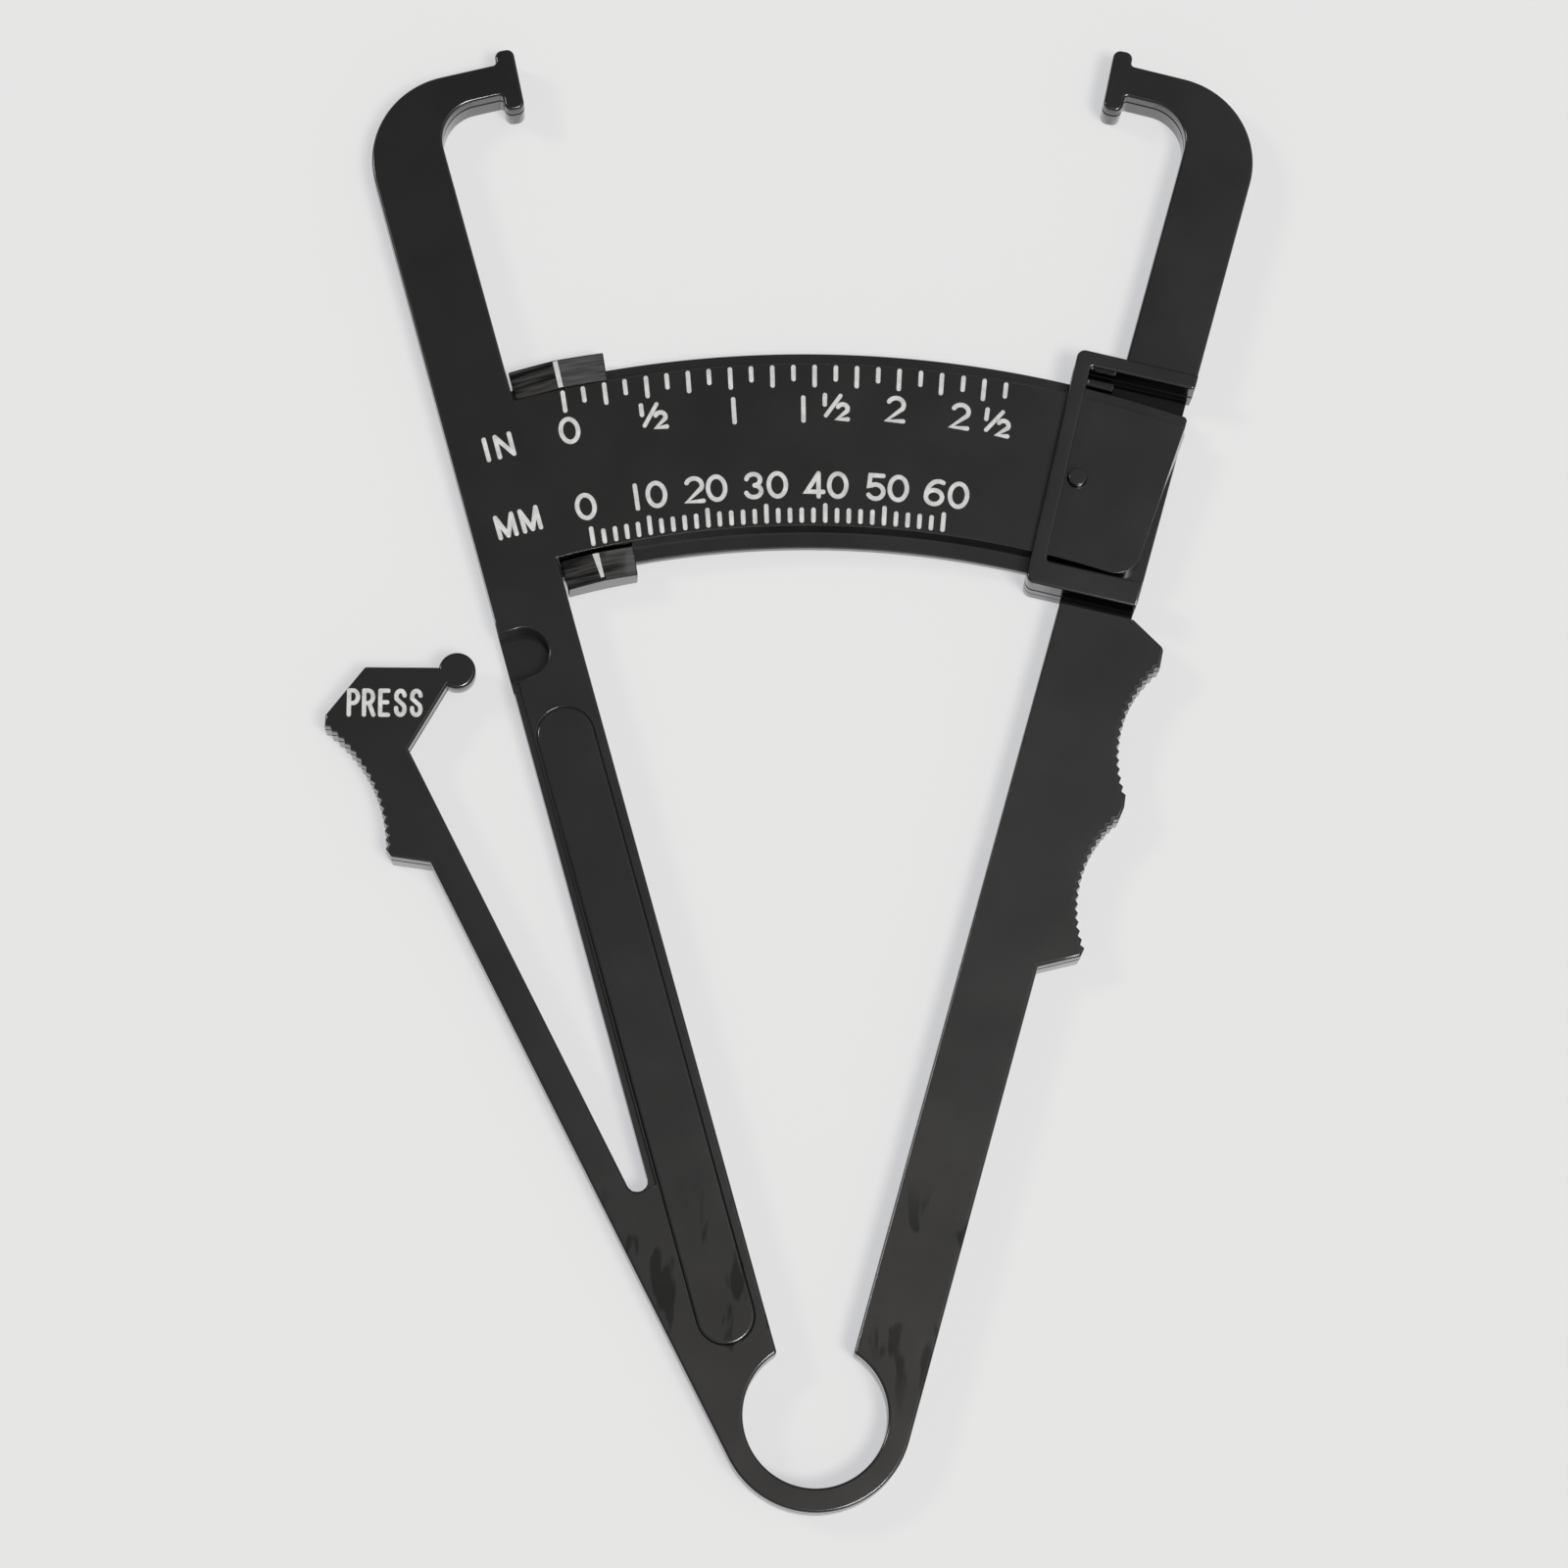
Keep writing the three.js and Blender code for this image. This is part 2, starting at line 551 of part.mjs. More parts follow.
// Above its neck the pad is thin towards the disc, so that it clears the arm when pressed.
const padRelief = plate(
  [
    lever(padNeck, LEVER_INNER_OFFSET),
    lever(padNeck, -FAR),
    lever(FAR, -FAR),
    lever(FAR, LEVER_INNER_OFFSET),
  ],
  -THICKNESS,
  DISC_UNDERSIDE,
);

const moulding = plate(bodyOutline, 0, THICKNESS, EDGE_BREAK).add(panel);

// Regions that part the moulding into members

const region = (points) => plate(points, -THICKNESS, 3 * THICKNESS);
const belowRingCentre = region([
  [-FAR, -FAR],
  [FAR, -FAR],
  [FAR, RING_CENTRE_Y],
  [-FAR, RING_CENTRE_Y],
]);
const leverSide = region([
  [-FAR, crotchCentre[1]],
  crotchCentre,
  leftArm(FAR, LEFT_ARM_WIDTH + CROTCH_RADIUS),
  [-FAR, FAR],
]);
const beamEnd = PAD_FOOT_AT - BEAM_CUT_MARGIN;
const beyondBeam = region([
  lever(beamEnd, FAR),
  lever(beamEnd, -FAR),
  lever(FAR, -FAR),
  lever(FAR, FAR),
]);
const leftHalf = region([
  [-FAR, -FAR],
  [0, -FAR],
  [0, FAR],
  [-FAR, FAR],
]);
const acrossGuide = (u0, u1) => [guide(u0, -FAR), guide(u0, FAR), guide(u1, FAR), guide(u1, -FAR)];
const fromGuideStart = region(acrossGuide(GUIDE_START, FAR));
const beyondGuide = region(acrossGuide(GUIDE_END, FAR));
const beyondLeftCut = region(acrossGuide(GUIDE_END, FAR).map(mirror).reverse());
const reach = SLIDER_OUTER_WALL + HOOK_INNER_RADIUS;
const arcSpan = region(
  sector(ARC_INNER_RADIUS - reach, ARC_OUTER_RADIUS + reach, -ARM_ANGLE, ARC_END_ANGLE + 10),
);

const ringSpring = moulding.intersect(belowRingCentre);
const leverPiece = moulding.intersect(leverSide);
const thumbSpring = leverPiece.subtract(beyondBeam);
const thumbPadPiece = leverPiece.intersect(beyondBeam).subtract(padRelief).add(disc);
const leftSide = moulding
  .intersect(leftHalf)
  .subtract(belowRingCentre)
  .subtract(leverSide)
  .subtract(ledge)
  .add(arcBlank)
  .subtract(arcSpan)
  .subtract(pocket);
const leftArmPiece = leftSide.subtract(beyondLeftCut);
const leftJaw = leftSide.intersect(beyondLeftCut);
const rightSide = moulding.subtract(leftHalf).subtract(belowRingCentre);
const scaleArc = unite([arcBlank.intersect(arcSpan), boss, ...marks]);

// Right arm below the guide, with the groove just under it.
const armGroove = plate(
  acrossGuide(GUIDE_START - ARM_GROOVE_WIDTH, GUIDE_START + ARM_GROOVE_WIDTH),
  THICKNESS - ARM_GROOVE_DEPTH,
  2 * THICKNESS,
);
const rightArmPiece = rightSide.subtract(fromGuideStart).subtract(armGroove);
const rightJaw = rightSide.intersect(beyondGuide);

// Guide: a back plate, two walls with bars on them, and a bar across the face of the scale arc
function guideRow(u0, u1, round0, round1, inset = 0) {
  const edge = [rightArm(0, RIGHT_ARM_WIDTH - inset), rightArm(1, RIGHT_ARM_WIDTH - inset)];
  return rounded([
    [...guide(u0, 0), round0],
    [...crossing(guide(u0, 0), guide(u0, 1), ...edge), 0],
    [...crossing(guide(u1, 0), guide(u1, 1), ...edge), 0],
    [...guide(u1, 0), round1],
  ]);
}
const lowerBarEnd = GUIDE_START + LOWER_BAR_WIDTH;
const upperBarStart = GUIDE_END - UPPER_BAR_WIDTH;
const passage = (r0, z0, z1) =>
  plate(
    sector(r0 - SLIDE_GAP, ARC_OUTER_RADIUS + SLIDE_GAP, GUIDE_ANGLE - 5, GUIDE_ANGLE + 15),
    z0,
    z1,
  );
const scaleGuide = unite([
  plate(
    guideRow(GUIDE_START, GUIDE_END, GUIDE_ROUNDING, GUIDE_ROUNDING, BACK_PLATE_INSET),
    0,
    BACK_PLATE_TOP,
  ),
  cappedPlate(guideRow(GUIDE_START, lowerBarEnd, GUIDE_ROUNDING, 0), 0, GUIDE_TOP),
  cappedPlate(guideRow(upperBarStart, GUIDE_END, 0, GUIDE_ROUNDING), 0, GUIDE_TOP),
  cappedPlate(
    rounded([
      [...guide(GUIDE_START, 0), GUIDE_ROUNDING],
      [...guide(GUIDE_START, LEFT_BAR_WIDTH), 0],
      [...guide(GUIDE_END, LEFT_BAR_WIDTH), 0],
      [...guide(GUIDE_END, 0), GUIDE_ROUNDING],
    ]),
    THICKNESS + SLIDE_GAP,
    GUIDE_TOP,
  ),
  plate(
    [
      guide(upperBarStart - GUIDE_BLOCK_DEPTH, LEFT_BAR_WIDTH / 2),
      guide(upperBarStart - GUIDE_BLOCK_DEPTH, LEFT_BAR_WIDTH + GUIDE_BLOCK_LENGTH),
      guide(upperBarStart + UPPER_BAR_WIDTH / 2, LEFT_BAR_WIDTH + GUIDE_BLOCK_LENGTH),
      guide(upperBarStart + UPPER_BAR_WIDTH / 2, LEFT_BAR_WIDTH / 2),
    ],
    BACK_PLATE_TOP / 2,
    RIM_TOP + GUIDE_BLOCK_RISE,
  ),
])
  .subtract(passage(ARC_INNER_RADIUS, BACK_PLATE_TOP, RIM_TOP + SLIDE_GAP))
  .subtract(passage(BAND_INNER_RADIUS, RIM_TOP, THICKNESS + SLIDE_GAP));

// The slider's right edge, and its left edge beside the left arm, run past it at both ends.
const sliderSpan = SLIDER_OUTER_RADIUS - SLIDER_INNER_RADIUS;
const sliderRight = (t) => {
  const low = along(SLIDER_RIGHT_ANGLE_IN, SLIDER_INNER_RADIUS);
  const high = along(SLIDER_RIGHT_ANGLE_OUT, SLIDER_OUTER_RADIUS);
  return [low[0] + t * (high[0] - low[0]), low[1] + t * (high[1] - low[1])];
};
const sliderBounds = region([
  leftArm(SLIDER_INNER_RADIUS - sliderSpan, -SLIDE_GAP),
  sliderRight(-1),
  sliderRight(2),
  leftArm(SLIDER_OUTER_RADIUS + sliderSpan, -SLIDE_GAP),
]);
const sliderBand = (r0, r1, z0, z1) =>
  plate(sector(r0, r1, -ARM_ANGLE - 2, -ARM_ANGLE + 8), z0, z1);

// A big block resting on a plane that falls away to one side of the index line.
function facetCutter(side) {
  const g = new THREE.BoxGeometry(2 * sliderSpan, 4 * sliderSpan, sliderSpan);
  g.translate(side * sliderSpan, 0, sliderSpan / 2);
  g.rotateY(side * SLIDER_FACET_SLOPE * RAD);
  g.rotateZ(-SLIDER_INDEX_ANGLE * RAD);
  const [x, y] = along(SLIDER_INDEX_ANGLE, (SLIDER_INNER_RADIUS + SLIDER_OUTER_RADIUS) / 2);
  return solidOf(g.translate(x, y, TAB_TOP));
}

const overRim = RIM_TOP + SLIDE_GAP;
const slider = unite([
  sliderBand(SLIDER_INNER_RADIUS, SLIDER_OUTER_RADIUS, SLIDER_UNDERSIDE, SLIDER_PLATE_TOP),
  sliderBand(ARC_OUTER_RADIUS + SLIDE_GAP, SLIDER_OUTER_RADIUS, SLIDER_UNDERSIDE, TAB_TOP),
  sliderBand(BAND_OUTER_RADIUS + SLIDE_GAP, SLIDER_OUTER_RADIUS, overRim, TAB_TOP),
  sliderBand(SLIDER_INNER_RADIUS, ARC_INNER_RADIUS - SLIDE_GAP, SLIDER_UNDERSIDE, TAB_TOP),
  sliderBand(SLIDER_INNER_RADIUS, BAND_INNER_RADIUS - SLIDE_GAP, overRim, TAB_TOP),
])
  .intersect(sliderBounds)
  .subtract(facetCutter(1))
  .subtract(facetCutter(-1));

// Meshes

const bodyPlastic = () =>
  new THREE.MeshStandardMaterial({ color: 0x1b1b1d, roughness: 0.35, metalness: 0 });
const sliderPlastic = () =>
  new THREE.MeshStandardMaterial({ color: 0x242426, roughness: 0.3, metalness: 0 });

function meshOf(solid, name, material) {
  const m = solid.getMesh();
  const positions = new Float32Array(m.numVert * 3);
  for (let i = 0; i < m.numVert; i++)
    positions.set(m.vertProperties.subarray(i * m.numProp, i * m.numProp + 3), i * 3);
  const g = new THREE.BufferGeometry()
    .setAttribute("position", new THREE.BufferAttribute(positions, 3))
    .setIndex(new THREE.BufferAttribute(m.triVerts, 1));
  g.computeVertexNormals();
  const mesh = new THREE.Mesh(g, material);
  mesh.name = name;
  return mesh;
}

const caliper = new THREE.Group();
caliper.name = "skinfold_caliper";
caliper.add(
  meshOf(leftArmPiece, "left_arm", bodyPlastic()),
  meshOf(leftJaw, "left_jaw", bodyPlastic()),
  meshOf(scaleArc, "scale_arc", bodyPlastic()),
  meshOf(ringSpring, "ring_spring", bodyPlastic()),
  meshOf(thumbSpring, "thumb_spring", bodyPlastic()),
  meshOf(thumbPadPiece, "thumb_pad", bodyPlastic()),
  meshOf(rightArmPiece, "right_arm", bodyPlastic()),
  meshOf(scaleGuide, "scale_guide", bodyPlastic()),
  meshOf(rightJaw, "right_jaw", bodyPlastic()),
  meshOf(slider, "slider", sliderPlastic()),
);

// The stored frame has its origin under the middle of the part's bounding box.
const middle = new THREE.Box3().setFromObject(caliper).getCenter(new THREE.Vector3());
caliper.position.set(-middle.x, -middle.y, 0);

export default caliper;
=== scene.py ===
# %% [markdown]
# # A one-piece plastic caliper, dressed for the camera
# The real tool is a single black moulding that flexes, plus a small slider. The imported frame
# knows how its parts move. This notebook gives each part a finer skin, paints the scale on it,
# and lights it the way a small black object is lit on a white table.

import json
import math

import bmesh
import bpy
import numpy as np
from mathutils import Matrix, Vector


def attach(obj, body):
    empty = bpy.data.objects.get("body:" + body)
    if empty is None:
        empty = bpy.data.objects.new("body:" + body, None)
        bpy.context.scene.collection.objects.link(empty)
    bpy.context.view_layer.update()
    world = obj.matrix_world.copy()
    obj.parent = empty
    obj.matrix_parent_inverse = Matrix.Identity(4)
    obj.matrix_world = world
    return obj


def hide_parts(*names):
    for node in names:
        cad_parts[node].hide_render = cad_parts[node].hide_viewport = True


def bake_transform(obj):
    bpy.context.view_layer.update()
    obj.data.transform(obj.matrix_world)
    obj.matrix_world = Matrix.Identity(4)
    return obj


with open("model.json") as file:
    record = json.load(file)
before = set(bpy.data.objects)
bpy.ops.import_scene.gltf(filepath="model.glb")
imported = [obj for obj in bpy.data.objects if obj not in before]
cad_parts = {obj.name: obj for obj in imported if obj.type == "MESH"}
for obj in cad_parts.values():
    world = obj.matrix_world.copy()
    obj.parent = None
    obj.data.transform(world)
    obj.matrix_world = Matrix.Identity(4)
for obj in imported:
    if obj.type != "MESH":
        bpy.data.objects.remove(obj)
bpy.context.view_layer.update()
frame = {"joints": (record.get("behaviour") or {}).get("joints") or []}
joints = {joint["name"]: joint for joint in frame["joints"]}
flex_centre = Vector(joints["jaw_close"]["pos_m"])
print("flex centre", [round(c * 1000, 2) for c in flex_centre], "mm")

# %% [markdown]
# ## The sizes of the moulding
# A flat moulding is best described by one drawing: a few widths, radii and angles about the
# point where the two arms meet. Everything is in millimetres here, because the steps are a
# tenth of a millimetre high. `GAP` is the play that every sliding fit gets. Meshes could also be
# traced by hand or sculpted, but a drawing by numbers keeps the skin exactly where the frame's
# solids are, so nothing has to be fitted.

# %% Sizes of the arms, ring and jaws
THICKNESS = 5.5
PARTING_HEIGHT = 3.6
EDGE_ROUNDING = 0.3
ARM_ANGLE = 15.5
LEFT_ARM_WIDTH = 8.9
RIGHT_ARM_WIDTH = 8.65
RING_CENTRE_Y = 8.6
RING_HOLE_RADIUS = 8.15
LIP_ROUNDING = 0.4
HOOK_TOP = 172.75
LEFT_HOOK_DROP = 0.58
HOOK_THICKNESS = 3.9
HOOK_SLOPE = 14.0
HOOK_INNER_RADIUS = 4.75
HOOK_OUTER_RADIUS = 10.5
FACE_ANGLE = 11.85
FACE_START = 166.8
FACE_END = 174.4
FOOT_DEPTH = 2.35
FOOT_ROUNDING = 0.9
FOOT_FILLET = 0.4
GAP = 0.3
RING_RADIUS = RIGHT_ARM_WIDTH + RING_CENTRE_Y * math.sin(math.radians(ARM_ANGLE))
print("outer radius of the ring", round(RING_RADIUS, 2), "mm")

# %% [markdown]
# ## Drawing in the plane
# Each arm leans away from the middle line, so its points are easiest to give as a distance
# along the arm and an offset to its side. `rounded` replaces a sharp corner by a true arc, as a
# cutter does when it goes round the mould. Bezier curves would also do, but arcs of a known
# radius keep the walls an even thickness.

# %% Points along a leaning line
def along(angle, s, off=0.0):
    c, n = math.cos(math.radians(angle)), math.sin(math.radians(angle))
    return (s * n + off * c, s * c - off * n)


def left_arm(s, off):
    return along(-ARM_ANGLE, s, -off)


def right_arm(s, off):
    return along(ARM_ANGLE, s, off)


def mirrored(corner):
    return (-corner[0],) + tuple(corner[1:])


def heading(centre, point):
    return math.degrees(math.atan2(point[1] - centre[1], point[0] - centre[0]))


def crossing(a, b, c, d):
    p, q = (b[0] - a[0], b[1] - a[1]), (d[0] - c[0], d[1] - c[1])
    t = ((c[0] - a[0]) * q[1] - (c[1] - a[1]) * q[0]) / (p[0] * q[1] - p[1] * q[0])
    return (a[0] + t * p[0], a[1] + t * p[1])


print("left arm's outer edge at the ring", [round(v, 2) for v in left_arm(0, LEFT_ARM_WIDTH)])


# %% Arcs and rounded corners
def arc(centre, radius, a0, a1, fineness=0.0025):
    step = min(8.0, math.degrees(2 * math.acos(1 - fineness / max(radius, 0.01))))
    count = max(2, math.ceil(abs(a1 - a0) / step))
    turns = [math.radians(a0 + (a1 - a0) * i / count) for i in range(count + 1)]
    return [(centre[0] + radius * math.cos(t), centre[1] + radius * math.sin(t)) for t in turns]


def circle(centre, radius):
    return arc(centre, radius, 0, 360)[:-1]


def rounded(corners):
    points = []
    for i, corner in enumerate(corners):
        x, y, r = corner
        if not r:
            points.append((x, y))
            continue
        before, after = corners[i - 1], corners[(i + 1) % len(corners)]
        a = Vector((before[0] - x, before[1] - y)).normalized()
        b = Vector((after[0] - x, after[1] - y)).normalized()
        half = a.angle(b) / 2
        middle = (a + b).normalized() * (r / math.sin(half))
        centre = (x + middle.x, y + middle.y)
        cut = r / math.tan(half)
        start = heading(centre, (x + a.x * cut, y + a.y * cut))
        turn = heading(centre, (x + b.x * cut, y + b.y * cut)) - start
        turn -= 360 * round(turn / 360)
        points += arc(centre, r, start, start + turn)
    return points


print("a rounded square has", len(rounded([(0, 0, 1), (9, 0, 1), (9, 9, 1), (0, 9, 1)])), "points")

# %% [markdown]
# ## The outline of the body
# Followed round once, the body is a single closed line: up the inner side of the right arm,
# over the hook and its foot, down past the finger grip, round the ring, up the thumb lever,
# into the crotch beside the left arm, over the left hook and back down to the ring hole. One
# line for all of it means that the parts cut from it later meet without any step.

# %% The hooks with their feet
def hook(arm_width, drop):
    def face(s, depth):
        return along(FACE_ANGLE, s - drop, depth)

    def slope(distance):
        return [along(HOOK_SLOPE, distance - drop, 0), along(HOOK_SLOPE, distance - drop, 1)]

    back = [face(FACE_START, FOOT_DEPTH), face(FACE_END, FOOT_DEPTH)]
    under, top = slope(HOOK_TOP - HOOK_THICKNESS), slope(HOOK_TOP)
    return [
        (*crossing(right_arm(0, 0), right_arm(1, 0), *under), HOOK_INNER_RADIUS),
        (*crossing(*back, *under), FOOT_FILLET),
        (*back[0], FOOT_ROUNDING),
        (*face(FACE_START, 0), FOOT_ROUNDING),
        (*face(FACE_END, 0), FOOT_ROUNDING),
        (*back[1], FOOT_ROUNDING),
        (*crossing(*back, *top), FOOT_FILLET),
        (*crossing(right_arm(0, arm_width), right_arm(1, arm_width), *top), HOOK_OUTER_RADIUS),
    ]


print("a hook has", len(hook(RIGHT_ARM_WIDTH, 0)), "corners")

# %% [markdown]
# The finger grip and the thumb pad have shallow scallops cut into small teeth, so that damp
# fingers hold them. The teeth could be a bump texture, but they break up the outline against
# the white table, so here they are real corners of the drawing.

# %% Toothed scallops
TOOTH_PITCH, TOOTH_DEPTH = 1.05, 0.35


def scallop(place, s, floor, crest, radius, direction):
    half_chord = math.sqrt(radius**2 - (floor + radius - crest) ** 2)
    centre = place(s, floor + radius)
    start = heading(centre, place(s - direction * half_chord, crest))
    turn = heading(centre, place(s + direction * half_chord, crest)) - start
    turn -= 360 * round(turn / 360)
    teeth = round(abs(math.radians(turn)) * radius / TOOTH_PITCH)
    points = []
    for i in range(2 * teeth + 1):
        a = math.radians(start + turn * i / (2 * teeth))
        r = radius + (TOOTH_DEPTH / 2 if i % 2 else -TOOTH_DEPTH / 2)
        points.append((centre[0] + r * math.cos(a), centre[1] + r * math.sin(a)))
    return points, half_chord


print("teeth stand", TOOTH_PITCH, "mm apart")

# %% The finger grip
ARC_INNER, BAND_INNER, BAND_OUTER, ARC_OUTER = 109.6, 111.75, 131.35, 133.2
GUIDE_START, GUIDE_END = ARC_INNER - 1.9, ARC_OUTER + 3.45
CREST, GRIP_DEPTH, GRIP_RADIUS = 13.1, 2.4, 14.3
SHOULDER_START, SHOULDER_END = GUIDE_START - 0.6, GUIDE_START - 3.1
UPPER_FLAT, MIDDLE_FLAT, LOWER_FLAT, RUN_OUT = 2.2, 2.8, 1.0, 3.5


def finger_scallop(s):
    return scallop(right_arm, s, CREST - GRIP_DEPTH, CREST, GRIP_RADIUS, -1)


reach = finger_scallop(SHOULDER_END)[1]
scallop_1 = SHOULDER_END - UPPER_FLAT - reach
crest_2 = scallop_1 - reach
scallop_2 = crest_2 - MIDDLE_FLAT - reach
crest_3 = scallop_2 - reach
finger_grip = (
    rounded([
        (*right_arm(SHOULDER_START, RIGHT_ARM_WIDTH), 0),
        (*right_arm(SHOULDER_END, CREST), 0.8),
        (*right_arm(SHOULDER_END - UPPER_FLAT, CREST), 0),
    ])[:-1]
    + finger_scallop(scallop_1)[0]
    + [right_arm(crest_2 - MIDDLE_FLAT / 2, CREST + TOOTH_DEPTH)]
    + finger_scallop(scallop_2)[0]
    + rounded([
        (*right_arm(crest_3, CREST), 0),
        (*right_arm(crest_3 - LOWER_FLAT, CREST), 0.4),
        (*right_arm(crest_3 - RUN_OUT, RIGHT_ARM_WIDTH), 0),
    ])[1:]
)
print("finger grip", len(finger_grip), "points")

# %% [markdown]
# The thumb lever is a thin beam that runs out of the ring, beside the left arm, and ends in the
# pad. The pad's outer side is toothed, and its tip narrows to the disc on the arm's side. The
# slit between beam and arm ends in a round crotch, because a sharp one would crack.

# %% The thumb lever and its pad
LEVER_ANGLE, LEVER_INNER = 26.8, 3.45
LEVER_OUTER = RING_RADIUS - RING_CENTRE_Y * math.sin(math.radians(LEVER_ANGLE))
PAD_FOOT, PAD_CREST, PAD_DEPTH, PAD_RADIUS = 83.7, 10.8, 1.9, 18.2
PAD_MIDDLE, PAD_NECK = PAD_FOOT + 11.8, PAD_FOOT + 13.1
PAD_TIP, PAD_ROUNDING, CROTCH_RADIUS = 1.1, 0.5, 1.2
DISC_RADIUS, DISC_UNDERSIDE, DISC_DISTANCE, DISC_OFFSET = 2.14, 2.9, 18.96, -5.6


def lever(s, off):
    return along(-LEVER_ANGLE, s, -off)


pad_teeth, pad_reach = scallop(lever, PAD_MIDDLE, PAD_CREST - PAD_DEPTH, PAD_CREST, PAD_RADIUS, 1)
pad_corner = PAD_MIDDLE + pad_reach + PAD_TIP
disc_centre = lever(PAD_FOOT + DISC_DISTANCE, DISC_OFFSET)
thumb_pad_line = (
    [lever(PAD_FOOT, LEVER_OUTER), lever(PAD_FOOT + 2.6, PAD_CREST)]
    + pad_teeth
    + rounded([
        (*lever(pad_corner - PAD_TIP, PAD_CREST), 0),
        (*lever(pad_corner, PAD_CREST - PAD_ROUNDING), PAD_ROUNDING),
        (*lever(pad_corner + 3.1, 3.7), PAD_ROUNDING),
        (disc_centre[0] - DISC_RADIUS / 2, disc_centre[1] + 0.38, 0),
        (disc_centre[0] - DISC_RADIUS / 3, disc_centre[1] - 1.15, 0),
        (*lever(PAD_NECK, LEVER_INNER), 0),
        (*lever(PAD_FOOT, LEVER_INNER), 0),
    ])[1:-1]
)
crotch = crossing(
    lever(0, LEVER_INNER - CROTCH_RADIUS), lever(1, LEVER_INNER - CROTCH_RADIUS),
    left_arm(0, LEFT_ARM_WIDTH + CROTCH_RADIUS), left_arm(1, LEFT_ARM_WIDTH + CROTCH_RADIUS),
)
print("crotch of the lever at", [round(v, 2) for v in crotch])

# %% The whole outline
ring_centre = (0.0, RING_CENTRE_Y)
ring_off, ring_up = along(ARM_ANGLE, RING_CENTRE_Y)
right_lip = right_arm(ring_up + math.sqrt(RING_HOLE_RADIUS**2 - ring_off**2), 0)
lip_turn = heading(ring_centre, right_lip)
lip_cut = math.degrees(2 * LIP_ROUNDING / RING_HOLE_RADIUS)
hole_line = arc(ring_centre, RING_HOLE_RADIUS, 180 - lip_turn + lip_cut, 360 + lip_turn - lip_cut)
body_line = (
    rounded(
        [(*hole_line[-1], 0), (*right_lip, LIP_ROUNDING)]
        + hook(RIGHT_ARM_WIDTH, 0)
        + [(*right_arm(GUIDE_START, RIGHT_ARM_WIDTH), 0)]
    )[1:-1]
    + finger_grip
    + arc(ring_centre, RING_RADIUS, -ARM_ANGLE, -180 + LEVER_ANGLE)
    + thumb_pad_line
    + arc(crotch, CROTCH_RADIUS, 180 + LEVER_ANGLE, 360 + ARM_ANGLE)
    + rounded(
        [(*left_arm(ARC_INNER, LEFT_ARM_WIDTH), 0)]
        + [mirrored(corner) for corner in reversed(hook(LEFT_ARM_WIDTH, LEFT_HOOK_DROP))]
        + [(*mirrored(right_lip), LIP_ROUNDING), (*hole_line[0], 0)]
    )[1:-1]
    + hole_line
)
print("the body's outline has", len(body_line), "points")

# %% [markdown]
# ## From outline to moulded plate
# A moulded plate has softly rounded rims, walls that lean by about a degree so that it leaves
# the mould, and a hair-fine parting line where the two halves of the mould met. A bevel
# modifier could round the rims, but on an outline with this many short edges its corners
# collide. So each plate is built from a stack of rings, every one the outline moved inwards by
# a known amount, with one flat face at the top and one at the bottom.

# %% Rings moved inwards
def tidy_line(points):
    kept = [p for i, p in enumerate(points) if math.dist(p, points[i - 1]) > 1e-3]
    area = sum(a[0] * b[1] - b[0] * a[1] for a, b in zip(kept, kept[1:] + kept[:1]))
    return kept if area > 0 else kept[::-1]


def inward_moves(points):
    ring = np.array(points, float)
    before = ring - np.roll(ring, 1, axis=0)
    after = np.roll(ring, -1, axis=0) - ring
    before /= np.linalg.norm(before, axis=1)[:, None]
    after /= np.linalg.norm(after, axis=1)[:, None]
    n0 = np.stack([-before[:, 1], before[:, 0]], 1)
    n1 = np.stack([-after[:, 1], after[:, 0]], 1)
    middle = n0 + n1
    return middle * (2 / np.maximum((middle**2).sum(1), 0.4))[:, None]


print("a square's corner moves by", inward_moves([(0, 0), (1, 0), (1, 1), (0, 1)])[0])


# %% Heights and insets of a moulded wall
DRAFT = math.tan(math.radians(0.8))
PARTING_DEPTH, PARTING_HALF, PARTING_FLOOR = 0.14, 0.25, 0.12
QUARTER_TURN = [i * math.pi / 8 for i in range(5)]


def rounded_top(z, rounding):
    return [(rounding * (1 - math.cos(a)), z - rounding * (1 - math.sin(a))) for a in QUARTER_TURN]


def plate_levels(z0, z1, top, bottom, parting):
    def lean(z):
        return 0.0 if parting is None else abs(z - parting) * DRAFT

    levels = [(lean(z0), z0)]
    if bottom:
        levels = [(lean(z0) + bottom * (1 - math.sin(a)), z0 + bottom * (1 - math.cos(a)))
                  for a in QUARTER_TURN]
    if parting is not None:
        levels += [(0.0, parting - PARTING_HALF), (PARTING_DEPTH, parting - PARTING_FLOOR),
                   (PARTING_DEPTH, parting + PARTING_FLOOR), (0.0, parting + PARTING_HALF)]
    if not top:
        return levels + [(lean(z1), z1)]
    return levels + [(lean(z1) + inset, z) for inset, z in rounded_top(z1, top)]


print("the body's wall has", len(plate_levels(
    0, THICKNESS, EDGE_ROUNDING, EDGE_ROUNDING, PARTING_HEIGHT)), "levels")


# %% A plate from a stack of rings
def in_scene(name, data):
    piece = bpy.data.objects.new(name, data)
    bpy.context.scene.collection.objects.link(piece)
    return piece


